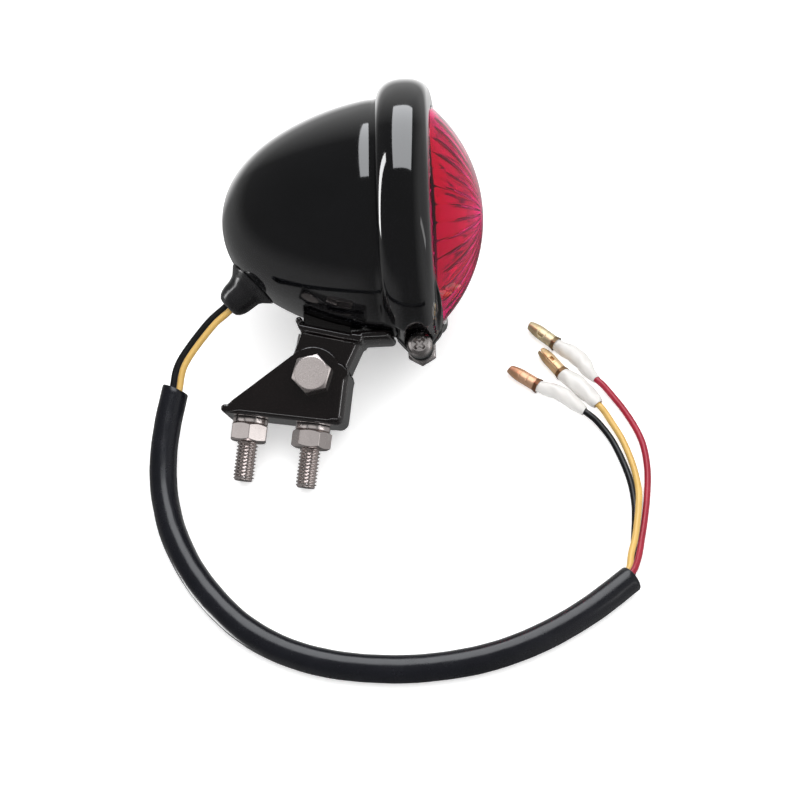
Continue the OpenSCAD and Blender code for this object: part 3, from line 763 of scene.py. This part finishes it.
# ------------------------------------------------------------------ bezel
def se_section(x, r, a, b, n=2.3):
    """Distance to a half round of width 2a and height b above r = 34, open below."""
    X = np.abs(x + 7.7) / a
    R = np.maximum(r - 34.0, 0) / b
    G = np.maximum((X ** n + R ** n) ** (1 / n), 1e-6)
    gx = (X / G) ** (n - 1) / a
    gr = (R / G) ** (n - 1) / b
    return (G - 1) / np.maximum(np.hypot(gx, gr), 1e-3)


def f_bezel(p):
    x, y, z = p.T
    r = np.hypot(y, z)
    ay = np.abs(y)
    low = step(-24, -28, z)
    outer = se_section(x, r, 7.5, 5.4)
    inner = se_section(x, r, 6.3, 4.2)
    # the band narrows towards the ears
    away = (1 - low) * 12 + step(13, 23, ay) * 7
    cut_rear = ((x + 13.1) * -3.9 + (r - 34.8) * 3.7) / 5.376 - away
    cut_front = ((x + 0.3) * 4.8 + (r - 34.2) * 4.5) / 6.58 - away
    outer = smax(outer, cut_rear, 1.6)
    outer = smax(outer, cut_front, 1.6)
    edge = -x - 12.95 - (step(17, 24, ay) * 4 + (1 - low) * 8)
    outer = smax(outer, edge, 0.6)
    front = np.interp(z, [-34.8, -34, -32.4, -30.6, -29.2, -27.6, -26, -23.5, -21.5, -19.5], [-0.9, -0.4, 0.4, 1.0, 1.2, 1.17, 0.9, 0.3, -0.12, -0.2])
    lip = smax(np.maximum(r - 34.1, 31.05 - r), np.maximum(x - front, -1.4 - x), 0.35)
    outer = smin(outer, lip, 0.5)
    ear = np.minimum(np.hypot(x - CLAMP_X, z - CLAMP_Z) - 3.6,
                     sd_poly(x, z, [(-12.8, -33.6), (-12.8, -35.25), (CLAMP_X - 2.72, CLAMP_Z - 2.12), (CLAMP_X, CLAMP_Z),
                                    (CLAMP_X + 3.4, CLAMP_Z + 0.75), (-1.4, -35.5), (-0.3, -33.6)]))
    outer = smin(outer, smax(ear, ay - 4.6, 0.5), 1.0)
    solid = step(25, 21, ay) * low * 9
    hollow = np.minimum(np.maximum(r - 35.2, np.abs(x + 7.7) - 6.3), inner + solid)
    d = smax(outer, -hollow, 0.25)
    rin = np.where(x > -7.7, 31.05, 34.3)
    d = smax(d, rin - r, 0.3)
    # slot between the ears, screw hole and pockets
    slot = np.maximum(ay - 1.6, z + 24)
    d = smax(d, -slot, 0.45)
    a = np.hypot(x - CLAMP_X, z - CLAMP_Z)
    d = smax(d, -(a - 2.15), 0.2)
    d = smax(d, -np.maximum(a - 4.1, y + 4.6), 0.3)
    d = smax(d, -np.maximum(a - 5.05, 4.6 - y), 0.3)
    return d


bezel = carved("bezel_ring", f_bezel, (-15.9, -40.2, -43), (1.5, 40.2, 40.2), 0.42, LAMP)


# ------------------------------------------------------------------ clamp screw and nut
def make_clamp_screw():
    def f(p):
        x, y, z = p.T
        r = np.hypot(x, y)
        d = smax(sd_poly(r, z, [(-1, 0), (3.6, 0), (3.6, 1.2), (3.45, 1.75), (3.05, 2.2), (2.3, 2.55), (1.2, 2.7), (-1, 2.72)]), -z, 0.12)
        c, s = cos(pi / 4), sin(pi / 4)
        a, b = np.abs(x * c + y * s), np.abs(-x * s + y * c)
        depth = 2.75 - z
        wide, long = 0.52 - 0.1 * depth, 2.0 - 0.42 * depth
        cross = np.minimum(np.maximum(a - wide, b - long), np.maximum(b - wide, a - long))
        cross = np.minimum(cross, (a + b) * 0.707 - (0.95 - 0.2 * depth))
        cross = np.maximum(cross, depth - 1.75)
        return smax(d, -cross, 0.08)

    P, F, N = carve(f, (-4, -4, -0.5), (4, 4, 3.2), 0.14)
    head = (P, F)
    rod = thread(2.0, 14.0, 0.7, 0.38, 40, plain=0.0, tip=0.6)
    rod = moved(rod, trans([0, 0, 0.05]) @ rot("x", 180))
    v, faces = merge(head, rod)
    place = LAMP @ trans([CLAMP_X, -4.6, CLAMP_Z]) @ rot("x", 90)
    return build("clamp_screw_pan", v, faces, place, smooth=32)


clamp_screw = make_clamp_screw()
clamp_nut = build("clamp_nut_hex", *hexagon(7.8, 3.2, True, True, bore=1.8, circle=0.95), place=LAMP @ trans([CLAMP_X, 4.6, CLAMP_Z]) @ rot("x", -90) @ rot("z", 30), smooth=28)


# ------------------------------------------------------------------ lens
LENS_R, LENS_RISE, LENS_T = 31.0, 13.3, 2.2
DOME_R = (LENS_R ** 2 + LENS_RISE ** 2) / (2 * LENS_RISE)
DOME_X = LENS_RISE - DOME_R


def smooth01(t):
    t = min(1.0, max(0.0, t))
    return t * t * (3 - 2 * t)


def make_lens():
    flutes = 34
    share = (0, 0.025, 0.05, 0.075, 0.105, 0.15, 0.24, 0.37, 0.5, 0.63, 0.76, 0.85, 0.895, 0.925, 0.95, 0.975)
    n = flutes * len(share)
    turns = [2 * pi * (k + s) / flutes for k in range(flutes) for s in share]
    near = [min(s, 1 - s) for k in range(flutes) for s in share]
    a1 = math.asin((LENS_R - 0.05) / DOME_R)
    outer = [(34.35, -3.4), (34.4, -3.3), (34.4, -1.6), (34.3, -1.5), (30.98, -1.5), (30.95, -0.6)]
    outer += [(DOME_R * sin(a1 * t), DOME_X + DOME_R * cos(a1 * t)) for t in np.linspace(1, 0, 60)]
    outer[-1] = (0.0, outer[-1][1])
    Ri = DOME_R - LENS_T
    a2 = math.asin(30.1 / Ri)
    inner = [(Ri * sin(a2 * t), DOME_X + Ri * cos(a2 * t)) for t in np.linspace(0, 1, 60)]
    inner[0] = (0.0, inner[0][1])
    inner += [(30.1, -2.6), (30.15, -3.3), (30.25, -3.4)]
    verts, ro, ri = [], [], []
    for k, (r, h) in enumerate(outer + inner):
        is_inner = k >= len(outer)
        row = [len(verts)] if r < 1e-6 else list(range(len(verts), len(verts) + n))
        if r < 1e-6:
            verts.append((0, 0, h))
        else:
            ramp = float(step(4.0, 11.0, r)) if is_inner and h > -1.5 else 0.0
            for j, (a, s) in enumerate(zip(turns, near)):
                # narrow grooves between soft ridges, on the lamp's inside
                own = 0.75 + 0.25 * sin(2.4 * round(j / len(share)) % flutes)
                # they reach less far towards the rim on one side
                wide = smooth01((abs((a - 1.773) % (2 * pi) - pi) - 0.45) / 0.5)
                lim = 19.5 + 5.5 * wide
                fade = ramp * (1 - smooth01((r - lim) / (28.4 - lim)))
                d = fade * ((0.42 + 0.14 * wide) * own * math.exp(-(s / 0.075) ** 2) - 0.05 * (1 - (1 - 2 * s) ** 2))
                verts.append((r * cos(a), r * sin(a), h + d))
        (ri if is_inner else ro).append(row)
    faces = quads_of(ro, n, False) + quads_of(ri, n, False)
    a, b = ri[-1], ro[0]
    faces += [(a[j], a[(j + 1) % n], b[(j + 1) % n], b[j]) for j in range(n)]
    return build("lens_fluted", verts, faces, AXIS, smooth=28)


lens = make_lens()


# ------------------------------------------------------------------ boot
def f_shell(x, r):
    u = np.clip((X_TAIL - x) / SHELL_LEN, 0, 1)
    rs = SHELL_R * tail(u)
    e = 0.004
    sl = SHELL_R * (tail(np.clip(u + e, 0, 1)) - tail(np.clip(u - e, 0, 1))) / (SHELL_LEN * 2 * e)
    return (r - rs) / np.sqrt(1 + sl * sl)


BOOT_TO_LAMP = np.linalg.inv(LAMP) @ BOOTF


def f_boot(p):
    x, y, z = p.T
    r = np.hypot(x, y)
    body = sd_poly(r, z, [(-1, -4), (5.1, -4), (5.2, 1.6), (5.15, 2.8), (5.0, 4.2), (4.85, 5.6), (4.55, 6.8), (4.0, 7.9), (3.2, 8.7), (2.2, 9.15), (-1, 9.25)])
    body = body - 0.12
    q = put(BOOT_TO_LAMP, p)
    sh = f_shell(q[:, 0], np.hypot(q[:, 1], q[:, 2]))
    rim = smax(r - 7.9, np.maximum(sh - np.interp(r, [4.5, 5.6, 7.9], [2.5, 2.0, 0.34]), z - 3.0), 0.16)
    d = smin(body, rim, 0.9)
    d = smax(d, z - NOSE, 0.7)
    return smax(d, -(sh - 0.03), 0.06)


boot = carved("grommet", f_boot, (-9, -9, -5), (9, 9, 10), 0.22, BOOTF)


# ------------------------------------------------------------------ upper bracket
def f_upper(p):
    x, y, z = p.T
    ay = np.abs(y)
    side = np.minimum(sd_poly(x, z, [(-39.3, -30.87), (-23, -34.9), (-22.2, -35.3), (-22.2, -37.2), (-38.6, -33.15), (-40, -32.2), (-40.9, -29.8)]),
                      np.hypot(x + 39.9, z + 29.8) - 1.0)
    saddle = smax(side, ay - 8.45, 0.75)
    rr = np.hypot(y, z)
    radial = np.maximum(rr - 37.0, 34.4 - rr)
    plan = sd_round_rect(x, y, -40, -13.4, -8.3, 8.3, 2.7)
    tongue = smax(smax(radial, plan, 1.25), np.maximum(-25 - x, z + 10), 0.3)
    out = np.minimum(np.hypot(x - PIV[0], z - PIV[2]) - 7.6,
                     sd_poly(x, z, [(-38.9, -31.6), (-22.5, -35.6), (-22.1, -36.3), (-26.35, -44.7), (-36.4, -44.7), (-36.4, -46), (PIV[0] - 7.5, PIV[2] + 1.2)]))
    web = ((x + 22.1) * 8.4 - (z + 36.3) * 4.25) / 9.414      # in front of the front web where positive
    fold = 0.4 + 2.0 * step(-5.5, -2.6, web) * step(-46, -43.5, z)
    neck = smax(out, ay - 7.4, fold)
    hollow = sd_poly(x, z, [(-50, -31), (-41.7, -32.4), (-24.9, -36.5), (-25, -37), (-28.6, -44), (-28.6, -60), (-50, -60)])
    hollow = smax(hollow, ay - 5.4, 0.5)
    d = smin(saddle, neck, 0.9)
    d = smin(d, tongue, 0.9)
    d = smax(d, -hollow, 0.35)
    d = smax(d, -(np.hypot(x - PIV[0], z - PIV[2]) - 3.06), 0.15)
    return d


upper = carved("neck_bracket", f_upper, (-44.5, -9, -54), (-12.8, 9, -28.3), 0.3, LAMP)


def f_pad(p):
    x, y, z = p.T
    side = smax(sd_poly(x, z, [(-38.8, -20), (-25.4, -20), (-25.4, -34.28), (-38.8, -30.96)]), np.abs(y) - 6.5, 0.5)
    return smax(side, -(f_shell(x, np.hypot(y, z)) - 0.06), 0.04)


pad = carved("saddle_pad", f_pad, (-40, -7.3, -35.5), (-24.5, 7.3, -24), 0.26, LAMP)


# ------------------------------------------------------------------ foot bracket
BASE_LOW = -13.2
_d = math.hypot(21.9, 9.7)
_t = math.atan2(9.7, 21.9) + math.asin(8.1 / _d)
CHEEK = [(0, 0), (-8.05 * sin(_t), 8.05 * cos(_t)), (-21.9, -9.7), (-22.9, -10.9), (-23.5, -11.3), (-23.5, BASE_LOW)]
CHEEK += [(10.3 - 2.5 + 2.5 * sin(pi / 2 * i / 10), BASE_LOW + 2.5 - 2.5 * cos(pi / 2 * i / 10)) for i in range(11)]
CHEEK += [(10.3, 1.2), (9.7, 2.6), (8.0, 3.9), (6.9, 4.2)]


def f_foot(p):
    u, y, w = p.T
    ay = np.abs(y)
    side = np.minimum(np.hypot(u, w) - 8.1, sd_poly(u, w, CHEEK))
    fold = 0.4 + np.maximum(2.3 * step(3.8, 7.4, u) * step(2.0, -0.8, w), 1.45 * step(-9.6, -12.0, w) * step(-23, -19, u))
    d = smax(side, ay - 9.5, fold)
    top = BASE_LOW + 2
    hollow = smax(np.maximum(u - 8.3, top - w), ay - 7.5, 0.6)
    hollow = smax(smax(u - 8.3, top - w, 1.0), ay - 7.5, 0.6)
    d = smax(d, -hollow, 0.35)
    d = smax(d, -np.maximum(ay - 7.5, 1.4 - w), 0.3)
    bead = smax(np.hypot(u + 23.65, w - BASE_LOW - 1.2) - 1.1, ay - 9.45, 0.7)
    d = smin(d, bead, 0.6)
    d = smax(d, -(np.hypot(u, w) - 3.15), 0.15)
    for s in (0.9, -17.1):
        d = smax(d, -np.maximum(np.hypot(u - s, y) - 3.15, w + 8), 0.12)
    return d


foot = carved("foot_channel", f_foot, (-25.3, -10, -13.8), (10.9, 10, 8.7), 0.3, FOOTF)


# ------------------------------------------------------------------ pivot and mounting hardware
def make_pivot_bolt():
    head = hexagon(10, 4.0, True, False, circle=0.93)
    rod = moved(thread(3.0, 25.0, 1.0, 0.55, 56, plain=16.0), rot("x", 180))
    v, f = merge(moved(head, rot("z", 20)), rod)
    return build("pivot_bolt_hex", v, f, FOOTF @ trans([0, -9.5, 0]) @ rot("x", 90), smooth=26)


pivot_bolt = make_pivot_bolt()
pivot_nut = build("pivot_nut_hex", *hexagon(10, 5.0, True, True, bore=2.6, circle=0.93), place=FOOTF @ trans([0, 9.5, 0]) @ rot("x", -90) @ rot("z", 10), smooth=26)

STUDS = (0.9, -17.1)
TOP = BASE_LOW + 2.0


def make_studs():
    parts = []
    for s in STUDS:
        head = moved(hexagon(10, 2.8, True, False, circle=0.93), trans([s, 0, TOP]) @ rot("z", 30))
        rod = moved(thread(3.0, 20.0, 1.0, 0.55, 56, plain=0.0, tip=0.8), trans([s, 0, TOP]) @ rot("x", 180) @ rot("z", 40))
        parts += [head, rod]
    v, f = merge(*parts)
    return build("mounting_studs", v, f, FOOTF, smooth=26)


def make_washers():
    prof = arc(4.75, 0.25, 0.25, -90, 0, 4) + arc(4.75, 1.35, 0.25, 0, 90, 4) + arc(3.4, 1.4, 0.2, 90, 180, 3) + arc(3.4, 0.2, 0.2, 180, 270, 3)
    v, f = merge(*[moved(revolve(prof, 72), trans([s, 0, BASE_LOW - 1.6])) for s in STUDS])
    return build("mounting_washers_flat", v, f, FOOTF, smooth=35)


def make_nuts():
    parts = [moved(hexagon(10, 5.2, True, True, bore=2.6, circle=0.93), trans([s, 0, BASE_LOW - 1.6 - 5.2]) @ rot("z", a))
             for s, a in zip(STUDS, (-2, 37))]
    v, f = merge(*parts)
    return build("mounting_nuts_hex", v, f, FOOTF, smooth=26)


studs, washers, nuts = make_studs(), make_washers(), make_nuts()


# ------------------------------------------------------------------ materials
def new_material(name):
    m = bpy.data.materials.new(name)
    m.use_nodes = True
    nt = m.node_tree
    nt.nodes.clear()
    out = nt.nodes.new("ShaderNodeOutputMaterial")
    b = nt.nodes.new("ShaderNodeBsdfPrincipled")
    nt.links.new(b.outputs[0], out.inputs[0])
    return m, nt, b


def coords(nt, scale=(1, 1, 1), rotation=(0, 0, 0)):
    tc = nt.nodes.new("ShaderNodeTexCoord")
    mp = nt.nodes.new("ShaderNodeMapping")
    mp.inputs["Scale"].default_value = scale
    mp.inputs["Rotation"].default_value = rotation
    nt.links.new(tc.outputs["Object"], mp.inputs["Vector"])
    return mp.outputs["Vector"]


def noise(nt, vec, scale, detail=3.0, rough=0.55, distort=0.0):
    n = nt.nodes.new("ShaderNodeTexNoise")
    n.inputs["Scale"].default_value = scale
    n.inputs["Detail"].default_value = detail
    n.inputs["Roughness"].default_value = rough
    n.inputs["Distortion"].default_value = distort
    nt.links.new(vec, n.inputs["Vector"])
    return n.outputs["Fac"]


def ramp(nt, fac, stops):
    r = nt.nodes.new("ShaderNodeValToRGB")
    e = r.color_ramp.elements
    while len(e) < len(stops):
        e.new(0.5)
    for el, (p, c) in zip(e, stops):
        el.position = p
        el.color = (*c, 1) if len(c) == 3 else c
    nt.links.new(fac, r.inputs["Fac"])
    return r.outputs["Color"]


def spread(nt, fac, a, b, lo=0.3, hi=0.7):
    m = nt.nodes.new("ShaderNodeMapRange")
    m.inputs["From Min"].default_value, m.inputs["From Max"].default_value = lo, hi
    m.inputs["To Min"].default_value, m.inputs["To Max"].default_value = a, b
    nt.links.new(fac, m.inputs["Value"])
    return m.outputs["Result"]


def bump(nt, b, height, strength, distance):
    n = nt.nodes.new("ShaderNodeBump")
    n.inputs["Strength"].default_value = strength
    n.inputs["Distance"].default_value = distance
    nt.links.new(height, n.inputs["Height"])
    nt.links.new(n.outputs["Normal"], b.inputs["Normal"])
    return n


def enamel(name, tint, rough, peel, coat=0.0):
    m, nt, b = new_material(name)
    v = coords(nt)
    fine = noise(nt, v, 900, 2.0)
    wide = noise(nt, v, 60, 3.0)
    col = ramp(nt, wide, [(0.3, tuple(c * 0.8 for c in tint)), (0.7, tuple(c * 1.25 for c in tint))])
    nt.links.new(col, b.inputs["Base Color"])
    nt.links.new(spread(nt, wide, rough * 0.8, rough * 1.3), b.inputs["Roughness"])
    b.inputs["IOR"].default_value = 1.52
    b.inputs["Coat Weight"].default_value = coat
    b.inputs["Coat Roughness"].default_value = 0.06
    bump(nt, b, fine, peel, 0.00003)
    return m


def metal(name, tint, rough, grain=0.03, stain=0.1, scale=2600, metallic=1.0):
    m, nt, b = new_material(name)
    v = coords(nt)
    fine = noise(nt, v, scale, 3.0, 0.6)
    wide = noise(nt, v, 160, 4.0, 0.6)
    col = ramp(nt, wide, [(0.25, tuple(c * (1 - stain) for c in tint)), (0.75, tint)])
    nt.links.new(col, b.inputs["Base Color"])
    b.inputs["Metallic"].default_value = metallic
    nt.links.new(spread(nt, fine, rough * 0.8, rough * 1.25), b.inputs["Roughness"])
    bump(nt, b, fine, grain, 0.00003)
    return m


def brass(name, tint, c):
    """Stamped brass, with painted shade darkening the band where the rim flares."""
    m, nt, b = new_material(name)
    x, y, head = PLUGS[c]
    v = coords(nt)
    fine = noise(nt, v, 2400, 3.0, 0.6)
    wide = noise(nt, v, 420, 4.0, 0.6)
    off = nt.nodes.new("ShaderNodeVectorMath")
    off.operation = "SUBTRACT"
    off.inputs[1].default_value = (x * 0.001, y * 0.001, 0)
    nt.links.new(v, off.inputs[0])
    dot = nt.nodes.new("ShaderNodeVectorMath")
    dot.operation = "DOT_PRODUCT"
    dot.inputs[1].default_value = (cos(math.radians(head)), sin(math.radians(head)), 0)
    nt.links.new(off.outputs["Vector"], dot.inputs[0])
    far = spread(nt, dot.outputs["Value"], 0.0, 1.0, 0.0, 0.0108)
    mix = nt.nodes.new("ShaderNodeMath")
    mix.operation = "MULTIPLY_ADD"
    mix.inputs[1].default_value = 0.10
    nt.links.new(wide, mix.inputs[0])
    nt.links.new(far, mix.inputs[2])
    # painted shade: the stretch next to the flared rim is darkened in the colour, standing in for the shade on the
    # crimp
    painted_rim_shade = tuple(t * s for t, s in zip(tint, (0.30, 0.24, 0.20)))
    soft = tuple(t * s for t, s in zip(tint, (0.86, 0.80, 0.72)))
    col = ramp(nt, mix.outputs[0], [(0.05, painted_rim_shade), (0.155, painted_rim_shade), (0.19, tint), (0.55, tint), (0.75, soft), (1.0, tint)])
    nt.links.new(col, b.inputs["Base Color"])
    b.inputs["Metallic"].default_value = 0.8
    nt.links.new(spread(nt, fine, 0.30, 0.42), b.inputs["Roughness"])
    bump(nt, b, wide, 0.05, 0.00003)
    return m


def plastic(name, tint, rough, grain=0.1, scale=500, vary=0.12, ior=1.5, coat=0.0, trans_w=0.0, sub=0.0):
    m, nt, b = new_material(name)
    v = coords(nt)
    fine = noise(nt, v, scale, 3.0)
    wide = noise(nt, v, 90, 3.0)
    col = ramp(nt, wide, [(0.3, tuple(c * (1 - vary) for c in tint)), (0.7, tuple(min(1, c * (1 + vary * 0.5)) for c in tint))])
    nt.links.new(col, b.inputs["Base Color"])
    nt.links.new(spread(nt, fine, rough * 0.85, rough * 1.2), b.inputs["Roughness"])
    b.inputs["IOR"].default_value = ior
    b.inputs["Coat Weight"].default_value = coat
    b.inputs["Transmission Weight"].default_value = trans_w
    if sub:
        b.inputs["Subsurface Weight"].default_value = sub
        b.inputs["Subsurface Radius"].default_value = (0.001, 0.001, 0.001)
        b.inputs["Subsurface Scale"].default_value = 1.0
    bump(nt, b, fine, grain, 0.00004)
    return m


M = {
    "shell": enamel("black_enamel", (0.0022, 0.0023, 0.0028), 0.07, 0.05, 1.0),
    "bracket": enamel("bracket_enamel", (0.0045, 0.0032, 0.0032), 0.12, 0.10, 1.0),
    "zinc": metal("bright_zinc", (0.84, 0.76, 0.74), 0.30),
    "screw": metal("dark_zinc", (0.62, 0.58, 0.57), 0.26),
    "stainless": metal("stainless_turned", (0.80, 0.73, 0.71), 0.22, stain=0.16),
    "pad": enamel("pad_rubber", (0.004, 0.0035, 0.0035), 0.22, 0.05, 0.3),
    "rubber": plastic("black_rubber_moulded", (0.014, 0.014, 0.015), 0.22, 0.08, 420, 0.2),
    "gasket": plastic("gasket_rubber", (0.012, 0.012, 0.012), 0.6, 0.3, 600),
    "silver": metal("reflector_silver", (0.90, 0.89, 0.90), 0.14, 0.02, 0.04),
    "board": plastic("board_lacquer", (0.02, 0.16, 0.06), 0.3, 0.15, 900),
    "led": plastic("led_epoxy", (0.95, 0.75, 0.75), 0.08, 0.02, 300, 0.05, trans_w=0.6),
    "resistor": plastic("resistor_body", (0.55, 0.40, 0.22), 0.4, 0.1, 700),
    "w_black": plastic("wire_black_pvc", (0.006, 0.006, 0.0065), 0.33, 0.04, 300, 0.3),
    "w_yellow": plastic("wire_yellow_pvc", (0.72, 0.46, 0.13), 0.36, 0.04, 300, 0.08),
    "w_red": plastic("wire_red_pvc", (0.34, 0.014, 0.035), 0.33, 0.04, 300, 0.12),
    "sheath": plastic("sheath_pvc", (0.0075, 0.008, 0.011), 0.24, 0.05, 300, 0.2),
    "sleeve": plastic("sleeve_vinyl", (0.76, 0.745, 0.72), 0.38, 0.02, 200, 0.05, sub=0.3),
    "brass_black": brass("brass_warm", (0.92, 0.56, 0.36), "black"),
    "brass_yellow": brass("brass_mid", (0.92, 0.68, 0.40), "yellow"),
    "brass_red": brass("brass_pale", (0.88, 0.76, 0.50), "red"),
    "inner_red": plastic("inner_lead_red", (0.45, 0.03, 0.03), 0.35),
}


def lens_material():
    m, nt, b = new_material("lens_red")
    v = coords(nt)
    fine = noise(nt, v, 600, 2.0)
    b.inputs["Base Color"].default_value = (0.63, 0.004, 0.125, 1)
    nt.links.new(spread(nt, fine, 0.015, 0.05), b.inputs["Roughness"])
    b.inputs["Transmission Weight"].default_value = 1.0
    b.inputs["IOR"].default_value = 1.49
    bump(nt, b, fine, 0.03, 0.00003)
    return m


M["lens"] = lens_material()


def dress(ob, key):
    ob.data.materials.clear()
    ob.data.materials.append(M[key])


def give(ob, key, body, slot=None, *replaced):
    dress(ob, key)
    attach(ob, body)
    if replaced:
        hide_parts(*replaced)


give(shell, "shell", HEAD, "black_shell", "housing")
give(bezel, "shell", HEAD, "black_shell", "bezel")
give(clamp_screw, "screw", HEAD, "zinc_steel", "clamp_screw")
give(clamp_nut, "screw", HEAD, "zinc_steel", "clamp_nut")
give(lens, "lens", HEAD, "red_lens", "lens")
give(boot, "rubber", HEAD, "black_rubber", "cable_boot")
give(pad, "pad", HEAD, None, "bracket_pad")
give(upper, "bracket", HEAD, "black_bracket", "upper_bracket")
give(foot, "bracket", FOOT, "black_bracket", "foot_bracket")
give(pivot_bolt, "zinc", FOOT, "zinc_steel", "pivot_bolt")
give(pivot_nut, "zinc", FOOT, "zinc_steel", "pivot_nut")
give(studs, "stainless", FOOT, "stainless", "mounting_bolts")
give(washers, "stainless", FOOT, "stainless", "mounting_washers")
give(nuts, "stainless", FOOT, "stainless", "mounting_nuts")
give(sheath, "sheath", HEAD, "sheath_black", "sheath")
for c in PLUGS:
    give(wires[c], "w_" + c, HEAD, "wire_" + c, "wire_" + c)
    give(sleeves[c], "sleeve", HEAD, "sleeve_white", "sleeve_" + c)
    give(bullets[c], "brass_" + c, HEAD, "brass", "bullet_" + c)

KEPT = {"lens_gasket": "gasket", "reflector": "silver", "led_board": "board", "leds": "led", "resistors": "resistor",
        "board_screws": "stainless", "inner_leads": "inner_red", "saddle_screws": "zinc", "saddle_nuts": "zinc"}
for name, key in KEPT.items():
    dress(nodes[name], key)


# ------------------------------------------------------------------ floor and light
def floor():
    me = bpy.data.meshes.new("floor")
    s = 4.0
    me.from_pydata([(-s, -s, -0.00002), (s, -s, -0.00002), (s, s, -0.00002), (-s, s, -0.00002)], [], [(0, 1, 2, 3)])
    ob = bpy.data.objects.new("floor", me)
    scene.collection.objects.link(ob)
    m, nt, b = new_material("floor_pale")
    v = coords(nt)
    f = noise(nt, v, 8, 2.0)
    nt.links.new(ramp(nt, f, [(0.3, (0.90, 0.90, 0.90)), (0.7, (0.92, 0.92, 0.92))]), b.inputs["Base Color"])
    b.inputs["Roughness"].default_value = 0.9
    b.inputs["Specular IOR Level"].default_value = 0.1
    b.inputs["Emission Color"].default_value = (1, 1, 1, 1)
    b.inputs["Emission Strength"].default_value = 0.45
    ob.data.materials.append(m)
    ob.visible_glossy = False
    ob.visible_shadow = False


floor()


def area(name, centre, long_axis, face, size_x, size_y, radiance, gloss=True, diffuse=True):
    """A rectangular light: size_y runs along long_axis, and it shines towards face."""
    d = bpy.data.lights.new(name, "AREA")
    d.shape = "RECTANGLE"
    d.size, d.size_y, d.energy = size_x, size_y, radiance * pi * size_x * size_y
    ob = bpy.data.objects.new(name, d)
    scene.collection.objects.link(ob)
    z = (Vector(centre) - Vector(face)).normalized()
    y = Vector(long_axis).normalized()
    z = (z - y * z.dot(y)).normalized()
    x = y.cross(z)
    ob.matrix_world = Matrix.Translation(centre) @ Matrix((x, y, z)).transposed().to_4x4()
    ob.visible_camera = False
    ob.visible_glossy, ob.visible_diffuse = gloss, diffuse
    return ob


# one long softbox over the back that shows in the gloss, narrow ones at the sides, and a wide even fill
sky = (0.95, 0.97, 1.0)
back = area("softbox_back", (0.02, 0.775, 0.98), (-0.08, -1.45, 0.54), (0, 0, 0.03), 0.8, 1.55, 3.8, True, False)
back.data.color = sky
strip = area("strip_left", (-1.3, 0.29, 0.60), (0, 0.33, 1), (0, 0, 0.03), 0.27, 1.8, 9.0, True, False)
front = area("front_soft", (-0.1, -0.5, 1.25), (1, 0, 0), (0, 0, 0.03), 0.7, 1.3, 0.46, True, False)
side_l = area("side_left", (-1.15, -0.35, 0.62), (0, 1, 0), (0, 0, 0.03), 0.9, 1.0, 0.62, True, False)
side_r = area("side_right", (1.15, -0.3, 0.68), (0, 1, 0), (0, 0, 0.03), 0.8, 0.9, 0.75, True, False)
plug_top = area("plug_top", (0.05, 0.25, 1.3), (1, 0, 0), (0.05, 0, 0), 2.0, 2.2, 1.7, True, False)
plug_front = area("plug_front", (0.05, -1.25, 0.75), (1, 0, 0), (0.05, 0, 0), 0.9, 1.8, 1.0, True, False)
edge_right = area("edge_right", (0.95, -0.25, 0.88), (0, 0.96, 0.27), (0, 0, 0.03), 0.10, 1.5, 6.0, True, False)
edge_low = area("edge_low", (-0.1, -1.25, 0.42), (1, 0, 0), (0, 0, 0.03), 0.10, 1.3, 3.5, True, False)
low_soft = area("low_soft", (-0.666, -0.135, -0.635), (0, 1, 0), (-0.036, -0.09, 0.004), 0.35, 0.35, 7.0, True, False)


def only(light, pieces, state="INCLUDE"):
    c = bpy.data.collections.new(light.name + "_lights")
    for ob in pieces:
        c.objects.link(ob)
    for ob in c.collection_objects:
        ob.light_linking.link_state = state
    light.light_linking.receiver_collection = c


only(strip, [bezel, boot, upper, foot])
only(back, list(bullets.values()), "EXCLUDE")
bright = [pivot_bolt, pivot_nut, studs, washers, nuts, clamp_screw, clamp_nut]
for light in (front, side_l, side_r):
    only(light, bright)
for light in (plug_top, plug_front):
    only(light, list(bullets.values()))
for light in (edge_right, edge_low):
    only(light, [upper, foot])
only(low_soft, [sheath])
for ob in wires.values():
    ob.visible_glossy = False
area("strip_right", (1.2, -0.5, 0.45), (0, 0.3, -0.9), (0, 0, 0.03), 0.14, 0.75, 1.6, True, False)
area("fill_top", (0, 0, 1.7), (0, 1, 0), (0, 0, 0), 3.4, 3.4, 2.1, False, True)

# the surroundings: dim, lighter low on the left and far behind
world = bpy.data.worlds.new("world")
scene.world = world
world.use_nodes = True
nt = world.node_tree


def maths(op, a, b):
    m = nt.nodes.new("ShaderNodeMath")
    m.operation = op
    nt.links.new(a, m.inputs[0])
    nt.links.new(b, m.inputs[1])
    return m.outputs[0]


tc = nt.nodes.new("ShaderNodeTexCoord")
sep = nt.nodes.new("ShaderNodeSeparateXYZ")
nt.links.new(tc.outputs["Generated"], sep.inputs[0])
low_left = maths("MULTIPLY", spread(nt, sep.outputs["X"], 0, 1, -0.1, -0.45), spread(nt, sep.outputs["Z"], 0, 0.15, 0.0, -0.3))
behind = spread(nt, sep.outputs["Y"], 0.10, 0.44, 0.7, 0.97)
right = spread(nt, sep.outputs["X"], 0, 0.28, 0.35, 0.75)
low_back = maths("MULTIPLY", spread(nt, sep.outputs["Y"], 0, 1, 0.56, 0.74), spread(nt, sep.outputs["Z"], 0, 0.95, -0.30, -0.62))
around = maths("ADD", maths("ADD", low_left, behind), maths("ADD", right, low_back))
nt.links.new(around, nt.nodes["Background"].inputs["Strength"])
nt.nodes["Background"].inputs["Color"].default_value = (1, 1, 1, 1)
scene.view_settings.view_transform = "Standard"
